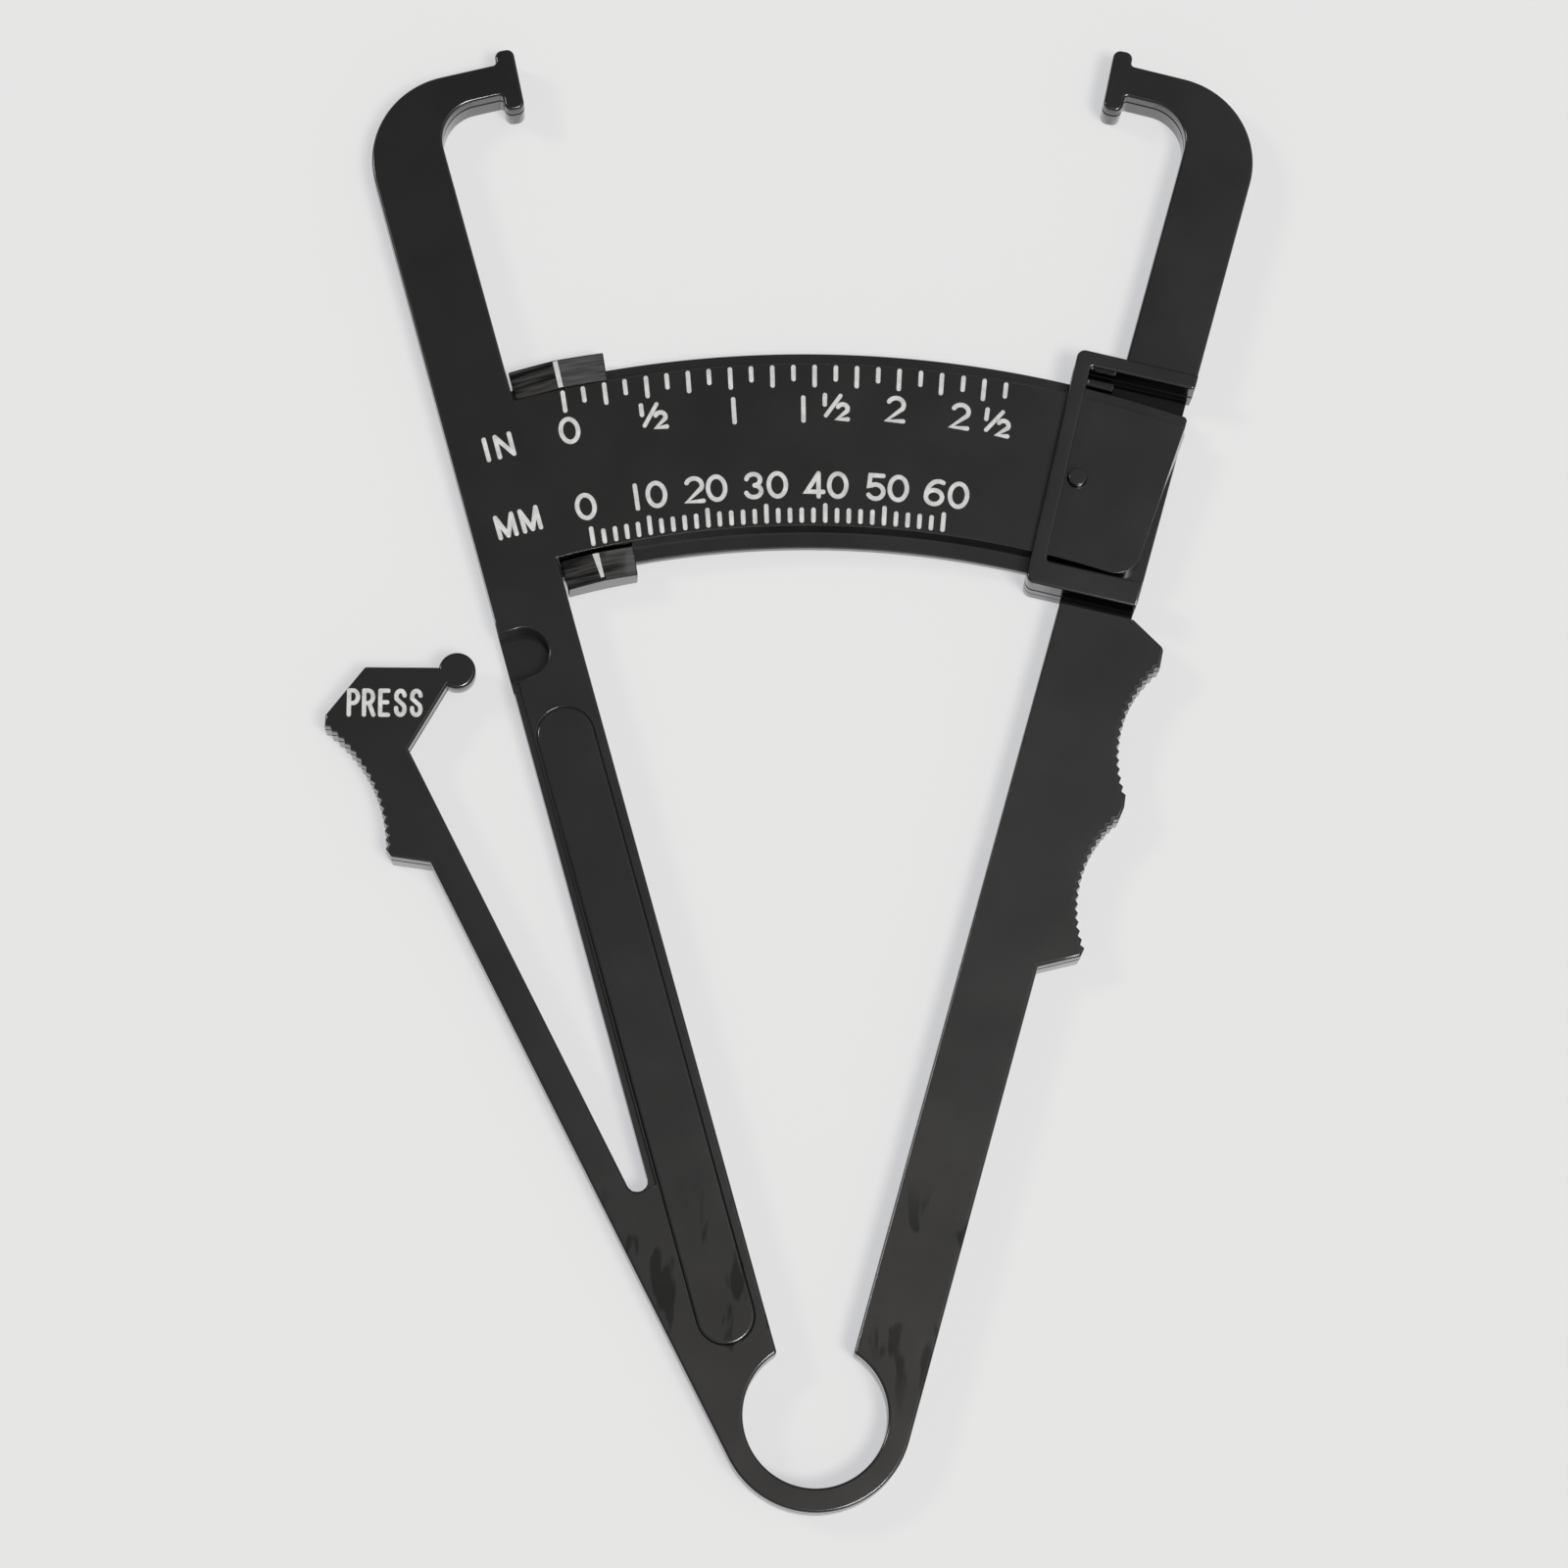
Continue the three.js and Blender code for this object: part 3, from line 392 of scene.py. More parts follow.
def stack(name, points, levels):
    line = tidy_line(points)
    moves, count = inward_moves(line), len(line)
    flat = np.array(line)
    rows = [np.c_[flat + moves * inset, np.full(count, z)] for inset, z in levels]
    faces = [tuple(reversed(range(count)))]
    for k in range(len(levels) - 1):
        a, b = k * count, (k + 1) * count
        faces += [(a + i, a + (i + 1) % count, b + (i + 1) % count, b + i) for i in range(count)]
    faces.append(tuple(range((len(levels) - 1) * count, len(levels) * count)))
    mesh = bpy.data.meshes.new(name)
    mesh.from_pydata(np.vstack(rows).tolist(), [], faces)
    mesh.update()
    return in_scene(name, mesh)


def plate(name, points, z0, z1, top=0.0, bottom=0.0, parting=None):
    return stack(name, points, plate_levels(z0, z1, top, bottom, parting))


body = plate("body", body_line, 0, THICKNESS, EDGE_ROUNDING, EDGE_ROUNDING, PARTING_HEIGHT)
print("body blank:", len(body.data.vertices), "corners")

# %% [markdown]
# ## Cutting and joining
# The frame moves the body in nine parts, so the blank is cut along the same lines as the
# solids. A boolean against a tall plain block gives a clean straight wall, which an ordinary
# knife cut would leave open. Sunken shapes such as the click pocket use a cutter whose rim
# flares out at the surface, and that leaves a softly rounded edge which catches the light. A
# slope is cut with a block that is tilted first, then turned and set where the slope begins.

# %% Boolean helpers
FAR, DEEP = 400.0, 20.0


def combine(piece, other, operation):
    modifier = piece.modifiers.new("cut", "BOOLEAN")
    modifier.operation, modifier.object, modifier.solver = operation, other, "MANIFOLD"
    graph = bpy.context.evaluated_depsgraph_get()
    mesh = bpy.data.meshes.new_from_object(piece.evaluated_get(graph))
    piece.modifiers.clear()
    piece.data = mesh
    bpy.data.objects.remove(other)
    if not len(mesh.polygons):
        raise ValueError(f"{piece.name} came out empty")
    return piece


def copy_of(piece, name):
    return in_scene(name, piece.data.copy())


print("regions reach", FAR, "mm sideways")


# %% Cutters
def region(points):
    return plate("region", points, -DEEP, DEEP)


def sunk(points, floor, top, lip):
    levels = [(0.0, floor)] + [(-inset, z) for inset, z in rounded_top(top, lip)]
    return stack("cutter", points, levels + [(-lip, top + 3)])


def sloping_cutter(size, middle, tilt, axis, turn, place):
    shape, mesh = bmesh.new(), bpy.data.meshes.new("slope")
    bmesh.ops.create_cube(shape, size=1)
    bmesh.ops.scale(shape, vec=size, verts=shape.verts)
    bmesh.ops.translate(shape, vec=middle, verts=shape.verts)
    turned_by = Matrix.Rotation(math.radians(turn), 4, "Z") @ Matrix.Rotation(
        math.radians(tilt), 4, axis)
    bmesh.ops.transform(shape, matrix=Matrix.Translation(place) @ turned_by, verts=shape.verts)
    shape.to_mesh(mesh)
    shape.free()
    return in_scene("slope", mesh)


print("cutters are", 2 * DEEP, "mm tall")

# %% Regions of the body
GUIDE_ANGLE = 13.1
BEAM_END = PAD_FOOT - 0.7
ROOT_LENGTH = 6.45


def guide(u, v):
    return along(GUIDE_ANGLE, u, v)


def guide_rows(u0, u1):
    return [guide(u0, -FAR), guide(u0, FAR), guide(u1, FAR), guide(u1, -FAR)]


def below_ring_centre():
    return region([(-FAR, -FAR), (FAR, -FAR), (FAR, RING_CENTRE_Y), (-FAR, RING_CENTRE_Y)])


def lever_side():
    return region([(-FAR, crotch[1]), crotch, left_arm(FAR, LEFT_ARM_WIDTH + CROTCH_RADIUS),
                   (-FAR, FAR)])


def beyond_beam():
    return region([lever(BEAM_END, FAR), lever(BEAM_END, -FAR), lever(FAR, -FAR), lever(FAR, FAR)])


def left_half():
    return region([(-FAR, -FAR), (0, -FAR), (0, FAR), (-FAR, FAR)])


def arc_space():
    r0, r1 = ARC_INNER - ROOT_LENGTH, ARC_OUTER + ROOT_LENGTH
    return region(arc((0, 0), r0, 90 + ARM_ANGLE, 60) + arc((0, 0), r1, 60, 90 + ARM_ANGLE))


print("guide's left edge leans by", round(heading(guide(0, 0), guide(1, 0)), 2), "degrees from +X")

# %% Ring spring and thumb spring
ring_spring = combine(copy_of(body, "ring_spring_skin"), below_ring_centre(), "INTERSECT")
combine(body, below_ring_centre(), "DIFFERENCE")
lever_part = combine(copy_of(body, "lever_part"), lever_side(), "INTERSECT")
combine(body, lever_side(), "DIFFERENCE")
thumb_spring = combine(copy_of(lever_part, "thumb_spring_skin"), beyond_beam(), "DIFFERENCE")
print("ring spring", len(ring_spring.data.polygons), "faces, thumb spring",
      len(thumb_spring.data.polygons))

# %% [markdown]
# ## Thumb pad
# The pad is the end of the lever. Towards the arm it is only half as thick, and it ends in a
# small disc that clicks into the arm's pocket. The disc gets its own rounded rim, because its
# lit lower edge is what makes it read as a separate button in the picture.

# %% Thumb pad with its disc
DISC_ROUNDING, DISC_FILLET = 0.35, 0.2
thumb_pad = combine(lever_part, beyond_beam(), "INTERSECT")
thinner_side = [lever(PAD_NECK, LEVER_INNER), lever(PAD_NECK, -FAR), lever(FAR, -FAR),
                lever(FAR, LEVER_INNER)]
combine(thumb_pad, plate("relief", thinner_side, -DEEP, DISC_UNDERSIDE), "DIFFERENCE")
disc = plate("disc", circle(disc_centre, DISC_RADIUS), DISC_UNDERSIDE, THICKNESS,
             DISC_ROUNDING, DISC_FILLET)
combine(thumb_pad, disc, "UNION")
print("thumb pad", len(thumb_pad.data.polygons), "faces")

# %% [markdown]
# ## Left arm
# The left arm carries a long raised panel with a hair-fine groove round it, a narrow ledge down
# its outer edge, and the pocket for the disc. The scale arc grows out of it, so the arm keeps a
# short root of the arc. That is why the arc's cross-section is drawn first: a thin rim on each
# side, and between them a thicker band. The band's wall leans, because the step down to the rim
# then shows as a line of its own, also where one looks at it from almost straight above.

# %% The scale arc's cross-section
ARC_UNDERSIDE, RIM_TOP, RIM_ROUNDING = 2.2, 3.4, 0.15
ARC_END, ARC_ROOT, FREE_CORNER, SMALL_CORNER = 19.3, -17.5, 3.0, 0.5
BAND_FOOT, BAND_LEAN, BAND_ROUNDING = ARC_UNDERSIDE + 0.4, 0.28, 0.07


def arc_line(r0, end0, r1, end1, rounding):
    def short_of(radius, end, r):
        return 90 - end + math.degrees(1.4 * r / radius)

    return rounded(
        [(*p, 0) for p in arc((0, 0), r0, 90 - ARC_ROOT, short_of(r0, end0, rounding))]
        + [(*along(end0, r0), rounding), (*along(end1, r1), SMALL_CORNER)]
        + [(*p, 0) for p in arc((0, 0), r1, short_of(r1, end1, SMALL_CORNER), 90 - ARC_ROOT)]
    )


def rim_end(radius):
    return ARM_ANGLE + math.degrees(math.asin((RIGHT_ARM_WIDTH + 0.15) / radius))


rim_line = arc_line(ARC_INNER, rim_end(ARC_INNER), ARC_OUTER, rim_end(ARC_OUTER), SMALL_CORNER)
rims = plate("rims", rim_line, ARC_UNDERSIDE, RIM_TOP, RIM_ROUNDING, RIM_ROUNDING)
band = stack("band", arc_line(BAND_INNER, ARC_END, BAND_OUTER, ARC_END, FREE_CORNER),
             [(-BAND_LEAN, BAND_FOOT), (-BAND_LEAN, RIM_TOP)]
             + rounded_top(THICKNESS, BAND_ROUNDING))
arc_blank = combine(rims, band, "UNION")
print("scale arc blank", len(arc_blank.data.polygons), "faces")

# %% Ledge, panel and root of the arc
LEDGE_START, LEDGE_END, LEDGE_EDGE, LEDGE_DEPTH, LEDGE_LIP = 38.0, 98.6, 8.15, 0.6, 0.15
PANEL_START, PANEL_END, PANEL_MIDDLE, PANEL_RADIUS = 21.7, 91.1, 4.5, 3.3
PANEL_RISE, PANEL_ROUNDING, MOAT_DEPTH, MOAT_LIP = 0.35, 0.28, 0.15, 0.14


def moat(line):
    return sunk(line, THICKNESS - MOAT_DEPTH, THICKNESS, MOAT_LIP)


left_side = combine(copy_of(body, "left_arm_skin"), left_half(), "INTERSECT")
ledge_line = [left_arm(LEDGE_START, LEDGE_EDGE), left_arm(LEDGE_END, LEDGE_EDGE),
              left_arm(LEDGE_END, 11), left_arm(LEDGE_START, 11)]
combine(left_side, sunk(ledge_line, THICKNESS - LEDGE_DEPTH, THICKNESS, LEDGE_LIP), "DIFFERENCE")
panel_line = (
    arc(left_arm(PANEL_END, PANEL_MIDDLE), PANEL_RADIUS, ARM_ANGLE, 180 + ARM_ANGLE)
    + arc(left_arm(PANEL_START, PANEL_MIDDLE), PANEL_RADIUS, 180 + ARM_ANGLE, 360 + ARM_ANGLE)
)
combine(left_side, moat(panel_line), "DIFFERENCE")
combine(left_side, plate("panel", panel_line, THICKNESS - 0.5, THICKNESS + PANEL_RISE,
                         PANEL_ROUNDING), "UNION")
combine(left_side, copy_of(arc_blank, "root"), "UNION")
combine(left_side, arc_space(), "DIFFERENCE")
print("left arm", len(left_side.data.polygons), "faces")

# %% [markdown]
# The click pocket sits where the disc lands when the lever is pressed, so its middle is the
# disc's middle, turned about the root of the lever by the angle of a full press. Placing it by
# eye would look right at rest and be wrong when pressed. It opens towards the disc.

# %% Click pocket and left jaw
def turned(pivot, point, angle):
    c, n = math.cos(math.radians(angle)), math.sin(math.radians(angle))
    dx, dy = point[0] - pivot[0], point[1] - pivot[1]
    return (pivot[0] + dx * c + dy * n, pivot[1] - dx * n + dy * c)


PRESS_PIVOT, PRESS_ANGLE = lever(46.4, 0.85), 8.17
POCKET_RADIUS, POCKET_FLOOR, POCKET_LIP = DISC_RADIUS + 0.7, 2.6, 0.2
MOUTH_UPPER, MOUTH_LOWER, MOUTH_REACH = 2.6, -3.1, POCKET_RADIUS + CROTCH_RADIUS
pocket_centre = turned(PRESS_PIVOT, disc_centre, PRESS_ANGLE)


def from_pocket(s, off):
    dx, dy = left_arm(s, off)
    return (pocket_centre[0] + dx, pocket_centre[1] + dy)


pocket_line = arc(pocket_centre, POCKET_RADIUS, ARM_ANGLE - 90, ARM_ANGLE + 90) + [
    from_pocket(MOUTH_UPPER, MOUTH_REACH), from_pocket(MOUTH_LOWER, MOUTH_REACH),
    from_pocket(MOUTH_LOWER, MOUTH_REACH - POCKET_RADIUS)]
combine(left_side, sunk(pocket_line, POCKET_FLOOR, THICKNESS, POCKET_LIP), "DIFFERENCE")
left_cut = [mirrored(p) for p in guide_rows(GUIDE_END, FAR)]
left_jaw = combine(copy_of(left_side, "left_jaw_skin"), region(left_cut), "INTERSECT")
combine(left_side, region(left_cut), "DIFFERENCE")
print("pocket's centre", [round(v, 2) for v in pocket_centre], "left jaw",
      len(left_jaw.data.polygons), "faces")

# %% [markdown]
# ## Right arm
# The right arm is plain on its face. Only where the guide begins does it have a deep groove
# across, which keeps the guide's lower edge dark; its floor lies low and also takes painted
# shade. The arm ends at the guide, and the jaw goes on beyond it, so that each can be a piece
# of its own.

# %% Right arm and right jaw
GROOVE_HALF, GROOVE_DEPTH = 1.25, 3.5
right_side = combine(body, left_half(), "DIFFERENCE")
right_jaw = combine(copy_of(right_side, "right_jaw_skin"), region(guide_rows(GUIDE_END, FAR)),
                    "INTERSECT")
combine(right_side, region(guide_rows(GUIDE_START, FAR)), "DIFFERENCE")
groove_line = guide_rows(GUIDE_START - GROOVE_HALF, GUIDE_START + GROOVE_HALF)
combine(right_side, plate("groove", groove_line, THICKNESS - GROOVE_DEPTH, DEEP), "DIFFERENCE")
print("right arm", len(right_side.data.polygons), "faces")

# %% [markdown]
# ## Scale arc
# The curved bar that carries both scales is stiffened by a thinner rim along each side. The
# rims also guide the slider. Near the free end a round boss stops the arc from leaving the
# guide. The arc is cut from the blank that already gave the arm its root.

# %% Scale arc with its boss
FRAME_BAR, BOSS_RADIUS, BOSS_FOOT, BOSS_RISE, BOSS_ROUNDING = 1.85, 1.05, 3.9, 0.9, 0.12
scale_arc = combine(arc_blank, arc_space(), "INTERSECT")
boss_centre = guide(BAND_INNER + (BAND_OUTER - BAND_INNER) / 2, FRAME_BAR + GAP + 1.07)
boss_line = circle(boss_centre, BOSS_RADIUS)
combine(scale_arc, moat(boss_line), "DIFFERENCE")
combine(scale_arc, plate("boss", boss_line, BOSS_FOOT, THICKNESS + BOSS_RISE, BOSS_ROUNDING),
        "UNION")
print("scale arc", len(scale_arc.data.polygons), "faces")

# %% [markdown]
# ## Guide
# The guide is a shallow box on the right arm through which the arc slides: a plate behind it,
# a wall at each end, and a frame of flat bars over its face. The frame is drawn as one C-shaped
# plate, so that its face runs round the corners without a seam. The arc's passage could be drawn
# into the walls, but cutting it out last, with the arc's own radii and the play, is sure to let
# the arc through. Behind the upper bar the back plate sinks away in a slope; its depth and painted
# shade in its colour make it look black.

# %% Frame of the guide
FRAME_THICKNESS, FRAME_ROUNDING = 1.1, 0.25
BAR_TOP = THICKNESS + GAP + FRAME_THICKNESS
BACK_TOP, BACK_INSET, BACK_ROUNDING = ARC_UNDERSIDE - GAP, 0.45, 0.25
GUIDE_CORNER, WINDOW_CORNER, BAR_END_CORNER = 0.95, 0.35, 0.5
LOWER_END, UPPER_START = GUIDE_START + 3.0, GUIDE_END - 1.8


def at_outer_edge(u, inset=0.0):
    edge = right_arm(0, RIGHT_ARM_WIDTH - inset), right_arm(1, RIGHT_ARM_WIDTH - inset)
    return crossing(guide(u, 0), guide(u, 1), *edge)


frame_line = rounded([
    (*guide(GUIDE_START, 0), GUIDE_CORNER), (*at_outer_edge(GUIDE_START), 0),
    (*at_outer_edge(LOWER_END), 0), (*guide(LOWER_END, FRAME_BAR), WINDOW_CORNER),
    (*guide(UPPER_START, FRAME_BAR), WINDOW_CORNER), (*at_outer_edge(UPPER_START), BAR_END_CORNER),
    (*at_outer_edge(GUIDE_END), 0), (*guide(GUIDE_END, 0), GUIDE_CORNER),
])
guide_piece = plate("scale_guide_skin", frame_line, THICKNESS + GAP, BAR_TOP, FRAME_ROUNDING)
print("guide frame", len(guide_piece.data.polygons), "faces")


# %% Walls, back plate and corner block of the guide
def guide_row(u0, u1, round0, round1, inset=0.0):
    return rounded([(*guide(u0, 0), round0), (*at_outer_edge(u0, inset), 0),
                    (*at_outer_edge(u1, inset), 0), (*guide(u1, 0), round1)])


WALL_TOP, BLOCK_START, BLOCK_END = BAR_TOP - 0.4, UPPER_START - 3.2, UPPER_START - 0.5
BLOCK_LEFT, BLOCK_RIGHT, BLOCK_TOP = FRAME_BAR / 2, 5.05, RIM_TOP + 0.2
block_line = [guide(BLOCK_START, BLOCK_LEFT), guide(BLOCK_START, BLOCK_RIGHT),
              guide(BLOCK_END, BLOCK_RIGHT), guide(BLOCK_END, BLOCK_LEFT)]
back_line = guide_row(GUIDE_START, GUIDE_END, GUIDE_CORNER, GUIDE_CORNER, BACK_INSET)
for wall in (
    plate("wall", guide_row(GUIDE_START, LOWER_END, GUIDE_CORNER, 0), 0, WALL_TOP, 0,
          BACK_ROUNDING, PARTING_HEIGHT),
    plate("wall", guide_row(UPPER_START, GUIDE_END, 0, GUIDE_CORNER), 0, WALL_TOP, 0,
          BACK_ROUNDING, PARTING_HEIGHT),
    plate("back", back_line, 0, BACK_TOP, 0, BACK_ROUNDING),
    plate("block", block_line, BACK_TOP / 2, BLOCK_TOP, 0.15),
):
    combine(guide_piece, wall, "UNION")
print("guide with its walls", len(guide_piece.data.polygons), "faces")

# %% Slot in the back plate and passage for the arc
SLOT_START, SLOT_SLOPE, SLOT_HEIGHT = ARC_OUTER - 0.4, -8, 1.2
PASSAGE_START, PASSAGE_END = 8.1, 28.1


def passage(r0, z0, z1):
    r1 = ARC_OUTER + GAP
    return plate("passage", arc((0, 0), r0 - GAP, 90 - PASSAGE_START, 90 - PASSAGE_END)
                 + arc((0, 0), r1, 90 - PASSAGE_END, 90 - PASSAGE_START), z0, z1)


slot_depth = UPPER_START - ARC_OUTER + 0.25
combine(guide_piece, sloping_cutter(
    (40, slot_depth, SLOT_HEIGHT), (20, slot_depth / 2, SLOT_HEIGHT / 2), SLOT_SLOPE, "X",
    -GUIDE_ANGLE, (*guide(SLOT_START, BLOCK_LEFT), BACK_TOP - SLOT_HEIGHT / 2)), "DIFFERENCE")
combine(guide_piece, passage(ARC_INNER, BACK_TOP, RIM_TOP + GAP), "DIFFERENCE")
combine(guide_piece, passage(BAND_INNER, RIM_TOP, THICKNESS + GAP), "DIFFERENCE")
print("guide", len(guide_piece.data.polygons), "faces")

# %% [markdown]
# ## Slider
# The slider wraps round the arc from behind and shows only as a hook over each rim. Each hook
# falls away to both sides of a white index line, so two facets catch different light. It is put
# together from curved strips, cut by two sloping blocks that meet under the index line, and its
# edges get a small bevel at the end.

# %% Slider from curved strips
SLIDER_IN, SLIDER_OUT, SLIDER_BACK, TAB_TOP = ARC_INNER - 1.7, ARC_OUTER + 2.0, 0.8, 4.9
INDEX_ANGLE, SLIDER_SLOPE = -12.95, 6.5
STRIP_START, STRIP_END = 90 + 17.5, 90 + 7.5


def strip(r0, r1, z0, z1):
    return plate("strip", arc((0, 0), r0, STRIP_START, STRIP_END)
                 + arc((0, 0), r1, STRIP_END, STRIP_START), z0, z1)


slider = strip(SLIDER_IN, SLIDER_OUT, SLIDER_BACK, BACK_TOP)
for r0, r1, z0 in (
    (ARC_OUTER + GAP, SLIDER_OUT, SLIDER_BACK),
    (BAND_OUTER + GAP, SLIDER_OUT, RIM_TOP + GAP),
    (SLIDER_IN, ARC_INNER - GAP, SLIDER_BACK),
    (SLIDER_IN, BAND_INNER - GAP, RIM_TOP + GAP),
):
    combine(slider, strip(r0, r1, z0, TAB_TOP), "UNION")
print("slider blank", len(slider.data.polygons), "faces")

# %% Slider's ends and sloping facets
END_INNER_ANGLE, END_OUTER_ANGLE = -10.95, -10.55


def slider_edge(t):
    low, high = along(END_INNER_ANGLE, SLIDER_IN), along(END_OUTER_ANGLE, SLIDER_OUT)
    return (low[0] + t * (high[0] - low[0]), low[1] + t * (high[1] - low[1]))


combine(slider, region([left_arm(80, -GAP), slider_edge(-1), slider_edge(2), left_arm(165, -GAP)]),
        "INTERSECT")
index_middle = (*along(INDEX_ANGLE, (SLIDER_IN + SLIDER_OUT) / 2), TAB_TOP)
for side in (1, -1):
    combine(slider, sloping_cutter((60, 110, 30), (side * 30, 0, 15), side * SLIDER_SLOPE, "Y",
                                   -INDEX_ANGLE, index_middle), "DIFFERENCE")
print("slider", len(slider.data.polygons), "faces")

# %% [markdown]
# ## Raised white marks and lettering
# The scale is moulded slightly proud of the band and its tops are printed white. A picture
# texture would blur up close, so every stroke is a thin bar with round ends and a small slope
# down to the black plastic. Letters and figures are short lists of such strokes.

# %% A stroke with round ends
STROKE_WIDTH, CAP_FINENESS = 0.55, 0.01
MARK_TOP = THICKNESS + 0.12
STROKE_LEVELS = [(0.0, THICKNESS - 0.15), (0.0, MARK_TOP - 0.07), (0.02, MARK_TOP - 0.02),
                 (0.07, MARK_TOP)]


def stroke_line(points, width):
    pts = [Vector(p) for p in points]
    half, left, right = width / 2, [], []
    for i, p in enumerate(pts):
        ahead, behind = pts[min(i + 1, len(pts) - 1)] - p, p - pts[max(i - 1, 0)]
        d0 = behind.normalized() if behind.length > 1e-9 else ahead.normalized()
        d1 = ahead.normalized() if ahead.length > 1e-9 else behind.normalized()
        m = Vector((-(d0.y + d1.y), d0.x + d1.x))
        m *= 2 * half / max(m.length_squared, 1.0)
        left.append(tuple(p + m))
        right.append(tuple(p - m))
    start = heading((0, 0), pts[1] - pts[0])
    end = heading((0, 0), pts[-1] - pts[-2])
    cap_0 = arc(pts[0], half, start + 90, start + 270, CAP_FINENESS)
    cap_1 = arc(pts[-1], half, end - 90, end + 90, CAP_FINENESS)
    return cap_0 + right[1:-1] + cap_1 + left[1:-1][::-1]


def raised_stroke(points, width):
    return stack("stroke", stroke_line(points, width), STROKE_LEVELS)


print("one stroke outline has", len(stroke_line([(0, 0), (1, 0)], 0.4)), "points")


# %% Join strokes into one piece
def united(strokes):
    for other in strokes[1:]:
        combine(strokes[0], other, "UNION")
    return strokes[0]


def gather(name, pieces):
    shape, mesh = bmesh.new(), bpy.data.meshes.new(name)
    for piece in pieces:
        shape.from_mesh(piece.data)
        bpy.data.objects.remove(piece)
    shape.to_mesh(mesh)
    shape.free()
    return in_scene(name, mesh)


cross = united([raised_stroke([(-1, 0), (1, 0)], 0.5), raised_stroke([(0, -1), (0, 1)], 0.5)])
print("a joined cross has", len(cross.data.polygons), "faces")
bpy.data.objects.remove(cross)

# %% [markdown]
# The printed marks stand at the angles that the jaws turn through for each opening: one every
# eighth of an inch at the outer edge of the band, and one every two millimetres at the inner
# edge. Every second and every fifth one is longer. They are worked out rather than placed by
# eye, because an uneven row would be seen at once.

# %% Scale marks
INCH, INCH_ZERO, INCH_REACH, INCH_EDGE = 25.4, -13.065, FACE_START + 0.4, BAND_OUTER - 0.15
MM_ZERO, MM_REACH, MM_EDGE = -13.22, FACE_START - 1.05, BAND_INNER + 0.3
MARK_LEAN = 0.68


def opening_angle(opening, distance):
    return math.degrees(2 * math.asin(opening / 2 / distance))


def tick(angle, foot, length):
    base, half = along(angle, foot), STROKE_WIDTH / 2

    def at(s):
        dx, dy = along(angle * MARK_LEAN, s)
        return (base[0] + dx, base[1] + dy)

    return raised_stroke([at(half), at(length - half)], STROKE_WIDTH)


ticks = []
for i in range(22):
    length = 2.0 if i % 2 else 2.75
    angle = INCH_ZERO + opening_angle(i * INCH / 8, INCH_REACH)
    ticks.append(tick(angle, INCH_EDGE - length, length))
for i in range(31):
    length = 1.85 if i % 5 else 2.4
    ticks.append(tick(MM_ZERO + opening_angle(i * 2, MM_REACH), MM_EDGE, length))
print(len(ticks), "scale marks")

# %% [markdown]
# Figures and letters are drawn on a grid one unit high, as few straight strokes and bows as
# read well at three millimetres. A ready typeface would bring shapes that belong to somebody
# else, and its thin outlines would not match the round-ended cut of the mould.

# %% Strokes of the figures and letters
def bow(cx, cy, rx, ry, a0, a1, steps=12):
    turns = [math.radians(a0 + (a1 - a0) * i / steps) for i in range(steps + 1)]
    return [(cx + rx * math.cos(t), cy + ry * math.sin(t)) for t in turns]


STEM = [(0.0, 0.0), (0.0, 1.0)]
BOWL = [(0.0, 1.0), (0.16, 1.0)] + bow(0.16, 0.74, 0.2, 0.26, 90, -90, 10) + [(0.0, 0.48)]
GLYPHS = {
    "0": [bow(0, 0.5, 0.36, 0.5, 85, 275, 18), bow(0, 0.5, 0.36, 0.5, -95, 95, 18)],
    "1": [[(0.0, 1.0), (0.0, 0.0)]],
    "2": [bow(0, 0.7, 0.33, 0.3, 155, -33) + [(-0.35, 0.0), (0.34, 0.0)]],
    "3": [bow(-0.02, 0.75, 0.29, 0.25, 170, -80), bow(-0.02, 0.26, 0.32, 0.26, 80, -165)],
    "4": [[(0.17, 0.0), (0.15, 1.0)], [(0.15, 1.0), (-0.34, 0.2), (0.36, 0.2)]],
    "5": [[(0.27, 1.0), (-0.27, 1.0), (-0.3, 0.54)] + bow(-0.02, 0.3, 0.33, 0.31, 122, -150)],
    "6": [bow(0.16, 0.36, 0.49, 0.64, 68, 178), bow(0.01, 0.3, 0.34, 0.3, 175, 365, 14),
          bow(0.01, 0.3, 0.34, 0.3, -5, 185, 14)],
    "I": [STEM],
    "N": [STEM, [(0.0, 1.0), (0.68, 0.0)], [(0.68, 0.0), (0.68, 1.0)]],
    "M": [STEM, [(0.0, 1.0), (0.38, 0.02)], [(0.38, 0.02), (0.76, 1.0)],
          [(0.76, 1.0), (0.76, 0.0)]],
    "P": [STEM, BOWL],
    "R": [STEM, BOWL, [(0.2, 0.48), (0.38, 0.0)]],
    "E": [STEM, [(0.0, 1.0), (0.32, 1.0)], [(0.0, 0.52), (0.28, 0.52)], [(0.0, 0.0), (0.32, 0.0)]],
    "S": [bow(0.17, 0.76, 0.17, 0.24, 10, 205) + bow(0.17, 0.24, 0.17, 0.24, 45, -190)],
}
print("glyphs", "".join(GLYPHS))


# %% Place figures and letters
TEXT_LEAN, FIGURE_HEIGHT = 0.85, 2.78


def placed(origin, angle, x, y):
    c, n = math.cos(math.radians(angle)), math.sin(math.radians(angle))
    return (origin[0] + x * c - y * n, origin[1] + x * n + y * c)


def letter(glyph, origin, angle, height, width=STROKE_WIDTH):
    return united([raised_stroke([placed(origin, angle, x * height, y * height) for x, y in points],
                                 width) for points in GLYPHS[glyph]])


